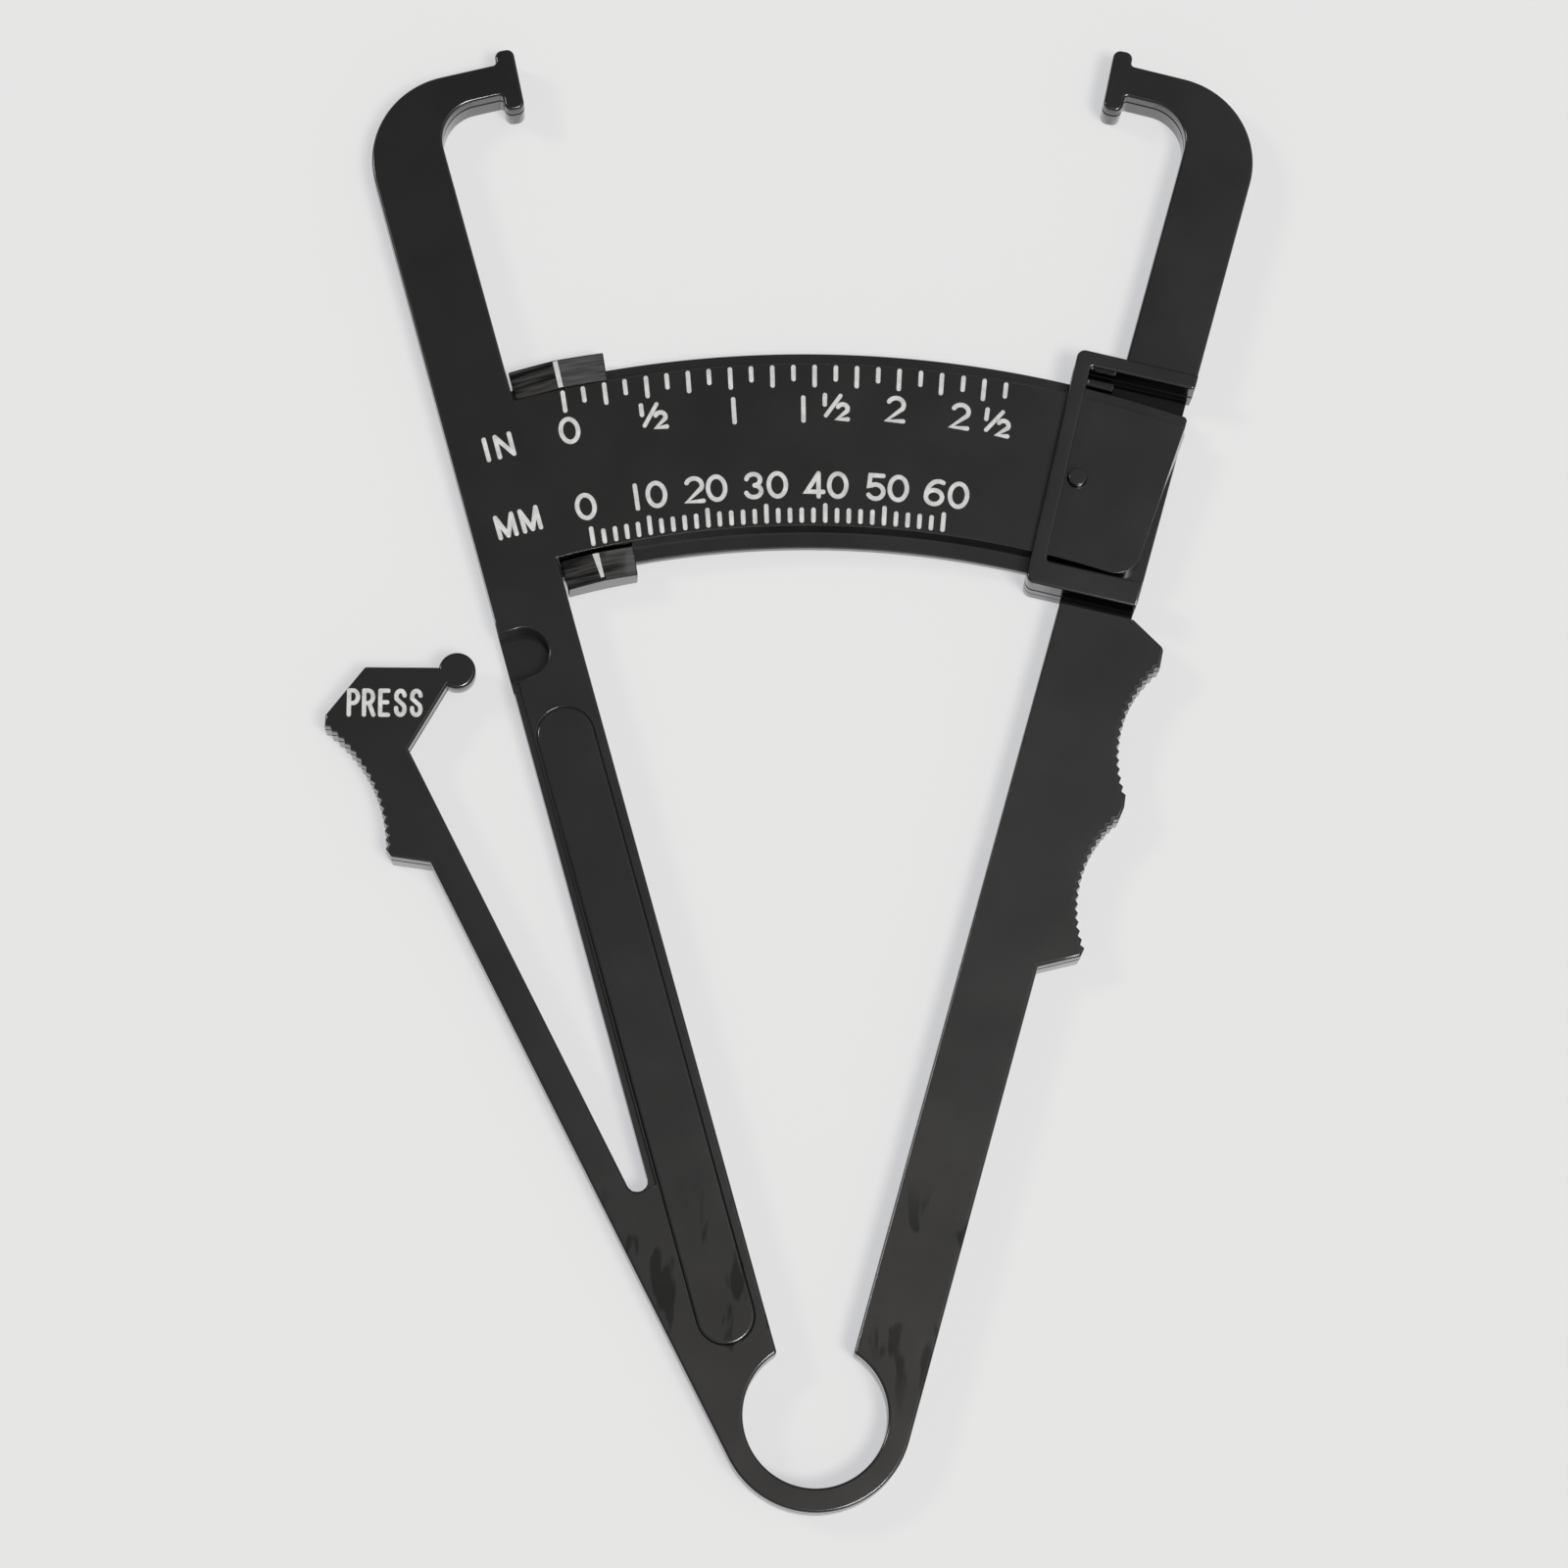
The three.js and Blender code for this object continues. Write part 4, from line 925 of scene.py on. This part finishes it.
def figures(text, radius, angle, pitch=0.0):
    turn, middle, strokes = -angle * TEXT_LEAN, along(angle, radius), []
    for i, glyph in enumerate(text):
        corner = placed(middle, turn, (i - (len(text) - 1) / 2) * pitch, -FIGURE_HEIGHT / 2)
        strokes.append(letter(glyph, corner, turn, FIGURE_HEIGHT))
    return strokes


def half_sign(radius, angle):
    turn, middle = -angle * TEXT_LEAN, along(angle, radius)
    bar = [placed(middle, turn, 0.52, 1.34), placed(middle, turn, -1.16, -1.1)]
    return [letter("1", placed(middle, turn, -1.31, 0.24), turn, 1.15),
            letter("2", placed(middle, turn, 0.79, -1.5), turn, 1.8), raised_stroke(bar, 0.5)]


def word(text, start, angle, height, pitches, width=STROKE_WIDTH):
    return [letter(glyph, placed(start, angle, pitch, 0), angle, height, width)
            for glyph, pitch in zip(text, pitches)]


print("figures stand", FIGURE_HEIGHT, "mm high")

# %% The two rows of figures, the units and the word on the pad
inch_row = (figures("0", 126.27, -13.08) + half_sign(126.28, -8.56) + figures("1", 125.89, -4.28)
            + figures("1", 125.81, -0.58) + half_sign(126.15, 1.15) + figures("2", 126.2, 4.33)
            + figures("2", 126.23, 7.78) + half_sign(126.18, 9.76))
mm_row = figures("0", 116.88, -13.15)
placings = [(116.82, -9.64, 2.36), (116.72, -6.24, 2.59), (116.68, -2.79, 2.73),
            (116.63, 0.68, 2.68), (116.65, 4.18, 2.57), (116.67, 7.58, 2.85)]
for i, (radius, angle, pitch) in enumerate(placings):
    mm_row += figures(f"{i + 1}0", radius, angle, pitch)
units = (word("IN", (-37.91, 119.36), 15, 2.5, (0, 1.32))
         + word("MM", (-36.42, 109.96), 16, 2.5, (0, 2.93)))
scale_print = gather("scale_print", ticks + inch_row + mm_row + units)
pad_word = word("PRESS", (-53.66, 88.82), 0, 2.85, (0, 1.74, 3.6, 5.43, 7.26), 0.52)
press_print = gather("press_print", pad_word)
print("scale print", len(scale_print.data.polygons), "faces")

# %% [markdown]
# The slider's white line crosses both of its hooks, along the ridge where the two facets meet.
# On the upper hook it is even, and on the lower one it widens towards the band. Each half is a
# thin strip that stands just clear of the ridge, so it can't flicker through it.

# %% Index line over the slider's two hooks
INDEX_DEPTH, INDEX_RISE, INDEX_ROUNDING = 0.6, 0.02, 0.03


def index_strip(r0, shift_0, width_0, r1, shift_1, width_1):
    corners = [along(INDEX_ANGLE, r0, shift_0 - width_0 / 2),
               along(INDEX_ANGLE, r0, shift_0 + width_0 / 2),
               along(INDEX_ANGLE, r1, shift_1 + width_1 / 2),
               along(INDEX_ANGLE, r1, shift_1 - width_1 / 2)]
    return plate("strip", corners, TAB_TOP - INDEX_DEPTH, TAB_TOP + INDEX_RISE, INDEX_ROUNDING)


index_print = gather("index_print", [
    index_strip(BAND_OUTER + GAP + 0.15, -0.1, 0.58, SLIDER_OUT - 0.15, -0.1, 0.58),
    index_strip(SLIDER_IN + 0.45, -0.3, 0.42, BAND_INNER - GAP - 0.15, -0.5, 0.78),
])
print("index lines", len(index_print.data.polygons), "faces")

# %% [markdown]
# ## Plastics and print
# The body is black moulded plastic with a satin face under a thin clear sheen: nearly black,
# with a very fine grain that blurs reflections and slow waves that the cooling left. A picture
# of plastic could be wrapped round it, but then the grain would stretch on the walls. So all of
# this is worked out from the position on the piece, and nothing depends on where one looks from.

# %% Shader helpers
def new_finish(name, colour, roughness):
    finish = bpy.data.materials.new(name)
    finish.use_nodes = True
    shader = finish.node_tree.nodes["Principled BSDF"]
    shader.inputs["Base Color"].default_value = (*colour, 1.0)
    shader.inputs["Roughness"].default_value = roughness
    return finish, finish.node_tree.nodes, finish.node_tree.links, shader


def feed(links, socket, value):
    if isinstance(value, (int, float, tuple)):
        socket.default_value = value
    else:
        links.new(value, socket)


def worked_out(nodes, links, operation, *values):
    node = nodes.new("ShaderNodeMath")
    node.operation = operation
    for socket, value in zip(node.inputs, values):
        feed(links, socket, value)
    return node.outputs["Value"]


def reckoned(nodes, links, operation, *vectors):
    node = nodes.new("ShaderNodeVectorMath")
    node.operation = operation
    for socket, vector in zip(node.inputs, vectors):
        feed(links, socket, vector)
    return node


def parts_of(nodes, links, vector):
    split = nodes.new("ShaderNodeSeparateXYZ")
    links.new(vector, split.inputs["Vector"])
    return split.outputs


def span(nodes, links, value, x0, x1, y0=0.0, y1=1.0, kind="LINEAR"):
    ramp = nodes.new("ShaderNodeMapRange")
    ramp.interpolation_type = kind
    for title, number in (("From Min", x0), ("From Max", x1), ("To Min", y0), ("To Max", y1)):
        ramp.inputs[title].default_value = number
    links.new(value, ramp.inputs["Value"])
    return ramp.outputs["Result"]


def tinted(nodes, links, factor, low, high):
    tint = nodes.new("ShaderNodeMix")
    tint.data_type = "RGBA"
    links.new(factor, tint.inputs["Factor"])
    for title, value in (("A", low), ("B", high)):
        feed(links, tint.inputs[title], (*value, 1.0) if isinstance(value, tuple) else value)
    return tint.outputs["Result"]


print("shader helpers ready")


# %% Grain and relief
RELIEF_STRENGTH = 0.35


def noise(nodes, links, vector, scale, detail=3.0, stretch=(1, 1, 1)):
    spread, grain = nodes.new("ShaderNodeMapping"), nodes.new("ShaderNodeTexNoise")
    spread.inputs["Scale"].default_value = stretch
    grain.inputs["Scale"].default_value, grain.inputs["Detail"].default_value = scale, detail
    links.new(vector, spread.inputs["Vector"])
    links.new(spread.outputs["Vector"], grain.inputs["Vector"])
    return grain.outputs["Fac"]


def embossed(nodes, links, height_map, height, below=None):
    bump = nodes.new("ShaderNodeBump")
    bump.inputs["Strength"].default_value = RELIEF_STRENGTH
    bump.inputs["Distance"].default_value = height
    links.new(height_map, bump.inputs["Height"])
    if below is not None:
        links.new(below, bump.inputs["Normal"])
    return bump.outputs["Normal"]


print("relief strength", RELIEF_STRENGTH)

# %% Moulded black plastic
COAT, COAT_ROUGHNESS = 0.55, 0.06
HAZE_SCALE, WAVE_SCALE, GRAIN_SCALE, FLOW_SCALE = 120.0, 75.0, 5200.0, 38.0
# Near-black used as painted shade on steep walls and hollows, and as the colour of the darker
# streaks and slide marks.
SHADE_AND_STREAK_BLACK = (0.0012, 0.0012, 0.0012)


def moulded_plastic(name, dark, light, gloss, grain_height, wave_height):
    finish, nodes, links, shader = new_finish(name, dark, gloss[0])
    spot = nodes.new("ShaderNodeTexCoord").outputs
    place = spot["Object"]
    shader.inputs["Coat Weight"].default_value = COAT
    shader.inputs["Coat Roughness"].default_value = COAT_ROUGHNESS
    haze = span(nodes, links, noise(nodes, links, place, HAZE_SCALE, 4.0), 0.3, 0.7, *gloss)
    links.new(haze, shader.inputs["Roughness"])
    waves = embossed(nodes, links, noise(nodes, links, place, WAVE_SCALE, 1.0), wave_height)
    grain = noise(nodes, links, place, GRAIN_SCALE, 2.0)
    links.new(embossed(nodes, links, grain, grain_height, waves), shader.inputs["Normal"])
    flow = noise(nodes, links, place, FLOW_SCALE, 2.0, (1, 0.35, 1))
    return finish, nodes, links, shader, spot, haze, tinted(nodes, links, flow, dark, light)


body_finish, nodes, links, shader, spot, haze, colour = moulded_plastic(
    "satin_black_plastic", (0.0085, 0.0083, 0.0086), (0.0155, 0.0148, 0.0142), (0.15, 0.23),
    2.5e-6, 1.2e-4)
print("body plastic", body_finish.name)

# %% [markdown]
# The steep walls get an almost black colour: painted shade for the shadow on them, so they look
# blacker than the faces. The pocket's wall and the sunken back plate of the guide see little of
# the sky, so they get the same painted shade and are duller too. The walls are found by their
# slope, the back plate by its height, and the pocket by its distance from the disc's seat.

# %% Painted shade on black walls and dull hollows
SLOPE_LIMITS, HOLLOW_FOOT, HOLLOW_TOP = (0.4, 0.8), (0.0006, 0.0009), (0.0021, 0.0024)
POCKET_LIMITS, SEAT_HEIGHT = (0.0048, 0.0052), 4.0


def in_frame(point, z):
    return (flex_centre.x + point[0] / 1000, flex_centre.y + point[1] / 1000, z / 1000)


height = parts_of(nodes, links, spot["Object"])["Z"]
upright = worked_out(nodes, links, "ABSOLUTE", parts_of(nodes, links, spot["Normal"])["Z"])
# Painted shade: steep walls, found by their slope, get the near-black colour.
wall = span(nodes, links, upright, *SLOPE_LIMITS, 1.0, 0.0)
# Painted shade: hollows low on the piece, found by their height, also the floor of the arm's
# groove.
hollow_shade = worked_out(nodes, links, "MULTIPLY", span(nodes, links, height, *HOLLOW_FOOT),
                    span(nodes, links, height, *HOLLOW_TOP, 1.0, 0.0))
hollow_shade = worked_out(nodes, links, "MULTIPLY", hollow_shade, span(nodes, links, upright, *SLOPE_LIMITS))
seat = in_frame(pocket_centre, SEAT_HEIGHT)
from_seat = reckoned(nodes, links, "SUBTRACT", spot["Object"], seat).outputs["Vector"]
reach = reckoned(nodes, links, "LENGTH", from_seat).outputs["Value"]
# Painted shade: the pocket's wall, found by its distance from the disc's seat.
pocket_wall_shade = worked_out(nodes, links, "MULTIPLY", wall,
                         span(nodes, links, reach, *POCKET_LIMITS, 1.0, 0.0))
hollow_shade = worked_out(nodes, links, "MAXIMUM", hollow_shade, pocket_wall_shade)
print("the disc's seat is at", [round(v, 4) for v in seat])

# %% [markdown]
# Near the ring, where the melt from both arms met, a few streaks stayed darker and duller. They
# come from a stretched noise that only counts close to one height along the tool.

# %% Dark flow streaks near the ring
STREAK_MIDDLE, STREAK_REACH, STREAK_LIMITS = -0.0625, (0.008, 0.014), (0.56, 0.6)
STREAK_SCALE, STREAK_STRETCH, DULL_COAT = 170.0, (1.9, 0.55, 1), 0.05
length_up = parts_of(nodes, links, spot["Object"])["Y"]
away = worked_out(nodes, links, "ABSOLUTE",
                  worked_out(nodes, links, "SUBTRACT", length_up, STREAK_MIDDLE))
streak = noise(nodes, links, spot["Object"], STREAK_SCALE, 3.0, STREAK_STRETCH)
streak = worked_out(nodes, links, "MULTIPLY", span(nodes, links, streak, *STREAK_LIMITS),
                    span(nodes, links, away, *STREAK_REACH, 1.0, 0.0))
# Hollows with painted shade and the streaks both get a duller coat.
hollow_shade_and_streaks = worked_out(nodes, links, "MAXIMUM", hollow_shade, streak)
# Base colour: painted shade on walls and hollows, and the darker plastic of the streaks.
painted_shade_and_streaks = worked_out(nodes, links, "MAXIMUM", wall, hollow_shade_and_streaks)
links.new(tinted(nodes, links, painted_shade_and_streaks, colour, SHADE_AND_STREAK_BLACK), shader.inputs["Base Color"])
links.new(worked_out(nodes, links, "MAXIMUM", haze, hollow_shade), shader.inputs["Roughness"])
links.new(span(nodes, links, hollow_shade_and_streaks, 0.0, 1.0, COAT, DULL_COAT), shader.inputs["Coat Weight"])
print("streaks centred", round((STREAK_MIDDLE - flex_centre.y) * 1000, 1), "mm above the middle")

# %% [markdown]
# The slider comes from a glossier mould and is slid about, so it has fine marks that run along
# the arc. They are a noise laid out in distance from the flex centre and stretched along the
# way it slides. Scratches drawn one by one would take longer and look no better.

# %% Glossier plastic with slide marks
MARK_STRETCH, MARK_LIMITS = (2400.0, 160.0, 300.0), (0.4, 0.62)
slider_finish, nodes, links, shader, spot, haze, colour = moulded_plastic(
    "glossy_black_plastic", (0.03, 0.029, 0.0285), (0.055, 0.053, 0.051), (0.1, 0.17), 3e-6, 1.5e-4)
offset = reckoned(nodes, links, "SUBTRACT", spot["Object"],
                  (flex_centre.x, flex_centre.y, 0.0)).outputs["Vector"]
polar, split = nodes.new("ShaderNodeCombineXYZ"), parts_of(nodes, links, offset)
links.new(reckoned(nodes, links, "LENGTH", offset).outputs["Value"], polar.inputs["X"])
links.new(split["X"], polar.inputs["Y"])
links.new(split["Z"], polar.inputs["Z"])
marks = noise(nodes, links, polar.outputs["Vector"], 1.0, 3.0, MARK_STRETCH)
links.new(tinted(nodes, links, span(nodes, links, marks, *MARK_LIMITS), SHADE_AND_STREAK_BLACK, colour),
          shader.inputs["Base Color"])
print("slider plastic", slider_finish.name)

# %% [markdown]
# The print is a thin white layer that is a little uneven, because it is rolled on over the
# raised strokes. A fine noise lets some of it look worn.

# %% White print
PRINT_THIN, PRINT_FULL = (0.42, 0.42, 0.42), (0.66, 0.66, 0.655)
print_finish, nodes, links, shader = new_finish("white_print", (0.6, 0.6, 0.6), 0.5)
place = nodes.new("ShaderNodeTexCoord").outputs["Object"]
wear = span(nodes, links, noise(nodes, links, place, 900.0, 3.0), 0.3, 0.7, 0.2, 1.0)
links.new(tinted(nodes, links, wear, PRINT_THIN, PRINT_FULL), shader.inputs["Base Color"])
print("print finish", print_finish.name)

# %% [markdown]
# ## Put the pieces in the frame
# The drawing was made in millimetres about the flex centre, and the frame is in metres about
# its own origin, so each mesh is scaled and moved once. Edges that turn by more than about a
# third of a right angle stay sharp, and the rest shade smoothly. A weighted normal modifier
# keeps the large flat faces flat right up to their rounded rims. Only the slider still needs a
# bevel, because its two slopes were cut last.

# %% Finish a piece
MM = 0.001
WELD_DISTANCE, SLIVER_LENGTH, SHARP_ANGLE, FLAT_WEIGHT = 2e-6, 1e-6, 32, 80


def finish_piece(piece, name, material):
    piece.name = name
    piece.data.transform(Matrix.Diagonal((MM, MM, MM, 1.0)))
    piece.data.transform(Matrix.Translation((flex_centre.x, flex_centre.y, 0)))
    shape = bmesh.new()
    shape.from_mesh(piece.data)
    bmesh.ops.remove_doubles(shape, verts=shape.verts, dist=WELD_DISTANCE)
    bmesh.ops.dissolve_degenerate(shape, dist=SLIVER_LENGTH, edges=shape.edges)
    limit = math.radians(SHARP_ANGLE)
    for edge in shape.edges:
        edge.smooth = not (edge.is_manifold and edge.calc_face_angle(0) > limit)
    for face in shape.faces:
        face.smooth = True
    shape.to_mesh(piece.data)
    shape.free()
    piece.data.materials.clear()
    piece.data.materials.append(material)
    weights = piece.modifiers.new("flat faces", "WEIGHTED_NORMAL")
    weights.keep_sharp, weights.weight = True, FLAT_WEIGHT
    return piece


print("edges over", SHARP_ANGLE, "degrees stay sharp")

# %% Hang the pieces on their bodies
BEVEL_WIDTH, BEVEL_ANGLE = 0.00015, 35
riding = [
    (left_side, "left_arm_skin", "left_side", "left_arm"),
    (left_jaw, "left_jaw_skin", "left_side", "left_jaw"),
    (scale_arc, "scale_arc_skin", "left_side", "scale_arc"),
    (thumb_pad, "thumb_pad_skin", "lever_pad", "thumb_pad"),
    (right_side, "right_arm_skin", "right_side", "right_arm"),
    (right_jaw, "right_jaw_skin", "right_side", "right_jaw"),
    (guide_piece, "scale_guide_skin", "right_side", "scale_guide"),
]
for piece, name, carrier, node in riding:
    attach(finish_piece(piece, name, body_finish), carrier)
    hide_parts(node)
slider_bevel = slider.modifiers.new("soft edges", "BEVEL")
slider_bevel.width, slider_bevel.segments = BEVEL_WIDTH, 2
slider_bevel.limit_method, slider_bevel.angle_limit = "ANGLE", math.radians(BEVEL_ANGLE)
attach(finish_piece(slider, "slider_skin", slider_finish), "reading_slider")
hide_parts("slider")
print(len(riding) + 1, "moulded pieces ride on their bodies")

# %% Hang the print on its bodies
for piece, name, carrier in ((scale_print, "scale_print", "left_side"),
                             (press_print, "press_print", "lever_pad"),
                             (index_print, "index_print", "reading_slider")):
    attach(finish_piece(piece, name, print_finish), carrier)
    print(name, len(piece.data.polygons), "faces")

# %% [markdown]
# ## The two springs
# The ring and the lever's thin beam have no hinge: the plastic itself bends.

# %% Finish the springs and hide their frame parts
for piece, name, other, node, start, end in (
    (ring_spring, "ring_spring_skin", "right_side", "ring_spring", (-6, 0), (6, 0)),
    (thumb_spring, "thumb_spring_skin", "lever_pad", "thumb_spring", lever(39, 1), lever(80, 1)),
):
    finish_piece(piece, name, body_finish)
    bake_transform(piece)
    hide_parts(node)
    print(name, len(piece.data.vertices), "corners")

# %% [markdown]
# ## Table, light and camera
# The tool lies on a plain pale table inside a bright tent. Seen by the camera or in a mirror
# the table is mostly an even pale glow, with just enough diffuse grey to hold a soft shadow. To
# all other rays it is an ordinary pale table that throws light back up. Paper lit by lamps
# alone would also do, but lamps that make it evenly white would flood the black plastic.

# %% Table
TABLE_REACH, TABLE_DROP = 2.5, 0.0001
table_mesh, shape = bpy.data.meshes.new("table"), bmesh.new()
bmesh.ops.create_grid(shape, x_segments=1, y_segments=1, size=TABLE_REACH)
bmesh.ops.translate(shape, vec=(0, 0, -TABLE_DROP), verts=shape.verts)
shape.to_mesh(table_mesh)
shape.free()
table = in_scene("table", table_mesh)
print("table", table.dimensions.x, "m wide")

# %% Pale finish of the table
TABLE_SHADE, TABLE_GLOW = (0.26, 0.255, 0.232, 1), (0.517, 0.522, 0.544, 1)
table_finish, nodes, links, shader = new_finish("pale_table", (0.8, 0.8, 0.8), 0.9)
shade, glow, pale, choice, rays = (nodes.new("ShaderNode" + kind) for kind in (
    "BsdfDiffuse", "Emission", "AddShader", "MixShader", "LightPath"))
shade.inputs["Color"].default_value = TABLE_SHADE
glow.inputs["Color"].default_value = TABLE_GLOW
links.new(shade.outputs["BSDF"], pale.inputs[0])
links.new(glow.outputs["Emission"], pale.inputs[1])
seen = worked_out(nodes, links, "MAXIMUM", rays.outputs["Is Camera Ray"],
                  rays.outputs["Is Glossy Ray"])
seen = worked_out(nodes, links, "MAXIMUM", seen, rays.outputs["Is Transmission Ray"])
links.new(seen, choice.inputs["Fac"])
links.new(shader.outputs["BSDF"], choice.inputs[1])
links.new(pale.outputs["Shader"], choice.inputs[2])
links.new(choice.outputs["Shader"], nodes["Material Output"].inputs["Surface"])
table_mesh.materials.append(table_finish)
print("table finish", table_finish.name)

# %% [markdown]
# Glossy black plastic shows what it mirrors. The tent is brighter on the lower right, and it
# has a patch overhead that the flat faces mirror: dim towards the jaws, a little warm towards
# the ring, and brighter on the right with one bright strip. A sheet of grey card hung in a real
# tent does the same. The patch could be a real card here too, but a few soft ramps over the sky
# are easier to set.

# %% Tent, bright on the lower right
SKY_DIM, SKY_BRIGHT, BRIGHT_SIDE = 0.12, 0.36, (0.5, -0.87, 0.0)
world = bpy.data.worlds.new("studio")
bpy.context.scene.world = world
world.use_nodes = True
nodes, links = world.node_tree.nodes, world.node_tree.links
sky = nodes.new("ShaderNodeTexCoord").outputs["Generated"]
direction = parts_of(nodes, links, sky)


def soft(value, x0, x1, y0, y1):
    return span(nodes, links, value, x0, x1, y0, y1, "SMOOTHSTEP")


side = reckoned(nodes, links, "DOT_PRODUCT", sky, BRIGHT_SIDE).outputs["Value"]
tent = soft(side, -0.8, 0.95, SKY_DIM, SKY_BRIGHT)
print("tent from", SKY_DIM, "to", SKY_BRIGHT)

# %% Patch overhead that the flat faces mirror
PATCH_NEAR, PATCH_FAR, PATCH_WARMTH = 0.45, 0.1, (1.0, 0.94, 0.87)
RISE_TO_RIGHT = (-0.2, 0.2, 0.5, 1.6)
STRIP_NEAR_EDGE, STRIP_FAR_EDGE = (0.13, 0.19, 1.0, 5.0), (0.24, 0.32, 1.0, 0.2)
overhead = soft(direction["Z"], 0.82, 0.93, 0.0, 1.0)
patch = soft(direction["Y"], 0.0, 0.36, PATCH_NEAR, PATCH_FAR)
for limits in (RISE_TO_RIGHT, STRIP_NEAR_EDGE, STRIP_FAR_EDGE):
    patch = worked_out(nodes, links, "MULTIPLY", patch, soft(direction["X"], *limits))
strength = worked_out(nodes, links, "MULTIPLY_ADD", overhead,
                      worked_out(nodes, links, "SUBTRACT", patch, tent), tent)
warmth = worked_out(nodes, links, "MULTIPLY", overhead, soft(direction["Y"], 0.0, 0.2, 1.0, 0.0))
links.new(strength, nodes["Background"].inputs["Strength"])
links.new(tinted(nodes, links, warmth, (1.0, 1.0, 1.0), PATCH_WARMTH),
          nodes["Background"].inputs["Color"])
print("patch from", PATCH_NEAR, "to", PATCH_FAR)

# %% [markdown]
# A broad lamp high on the right gives the thin soft shadows on the left, and a small one low on
# the left lights the edges that turn towards it. The camera stands almost straight above,
# leaning a little towards the ring, far enough away that the arms hardly shrink with distance.

# %% Soft key lamp and a small lamp on the left
KEY_PLACE, KEY_SIZE, KEY_WATTS = Vector((1.07, -1.27, 4.1)), 1.2, 124.0
LEFT_PLACE, LEFT_SIZE, LEFT_WATTS = Vector((-1.69, 0.72, 1.85)), 0.5, 13.0


def soft_lamp(name, place, size, watts):
    lamp = bpy.data.lights.new(name, "AREA")
    lamp.shape, lamp.size, lamp.energy = "DISK", size, watts
    stand = in_scene(name, lamp)
    stand.location = place
    stand.rotation_euler = place.to_track_quat("Z", "Y").to_euler()


soft_lamp("key_lamp", KEY_PLACE, KEY_SIZE, KEY_WATTS)
soft_lamp("left_lamp", LEFT_PLACE, LEFT_SIZE, LEFT_WATTS)
print("key lamp is", round(KEY_PLACE.length, 2), "m away")

# %% Camera
SENSOR_WIDTH, LENS, CAMERA_DISTANCE = 36.0, 118.747, 0.595
TARGET = Vector((flex_centre.x - 0.0035358, flex_centre.y + 0.0809324, 0.0055))
TOWARDS = Vector((-0.02581, -0.21385, 0.97653)).normalized()
RIGHT = Vector((0.99965, 0.0, 0.02642)).normalized()
camera = bpy.data.cameras.new("camera")
camera.sensor_width, camera.lens, camera.clip_end = SENSOR_WIDTH, LENS, 10.0
tripod = in_scene("camera", camera)
turn = Matrix((RIGHT, TOWARDS.cross(RIGHT), TOWARDS)).transposed().to_4x4()
tripod.matrix_world = Matrix.Translation(TARGET + TOWARDS * CAMERA_DISTANCE) @ turn
bpy.context.scene.camera = tripod
bpy.context.scene.view_settings.view_transform = "Standard"
print("camera", [round(v, 4) for v in tripod.location])
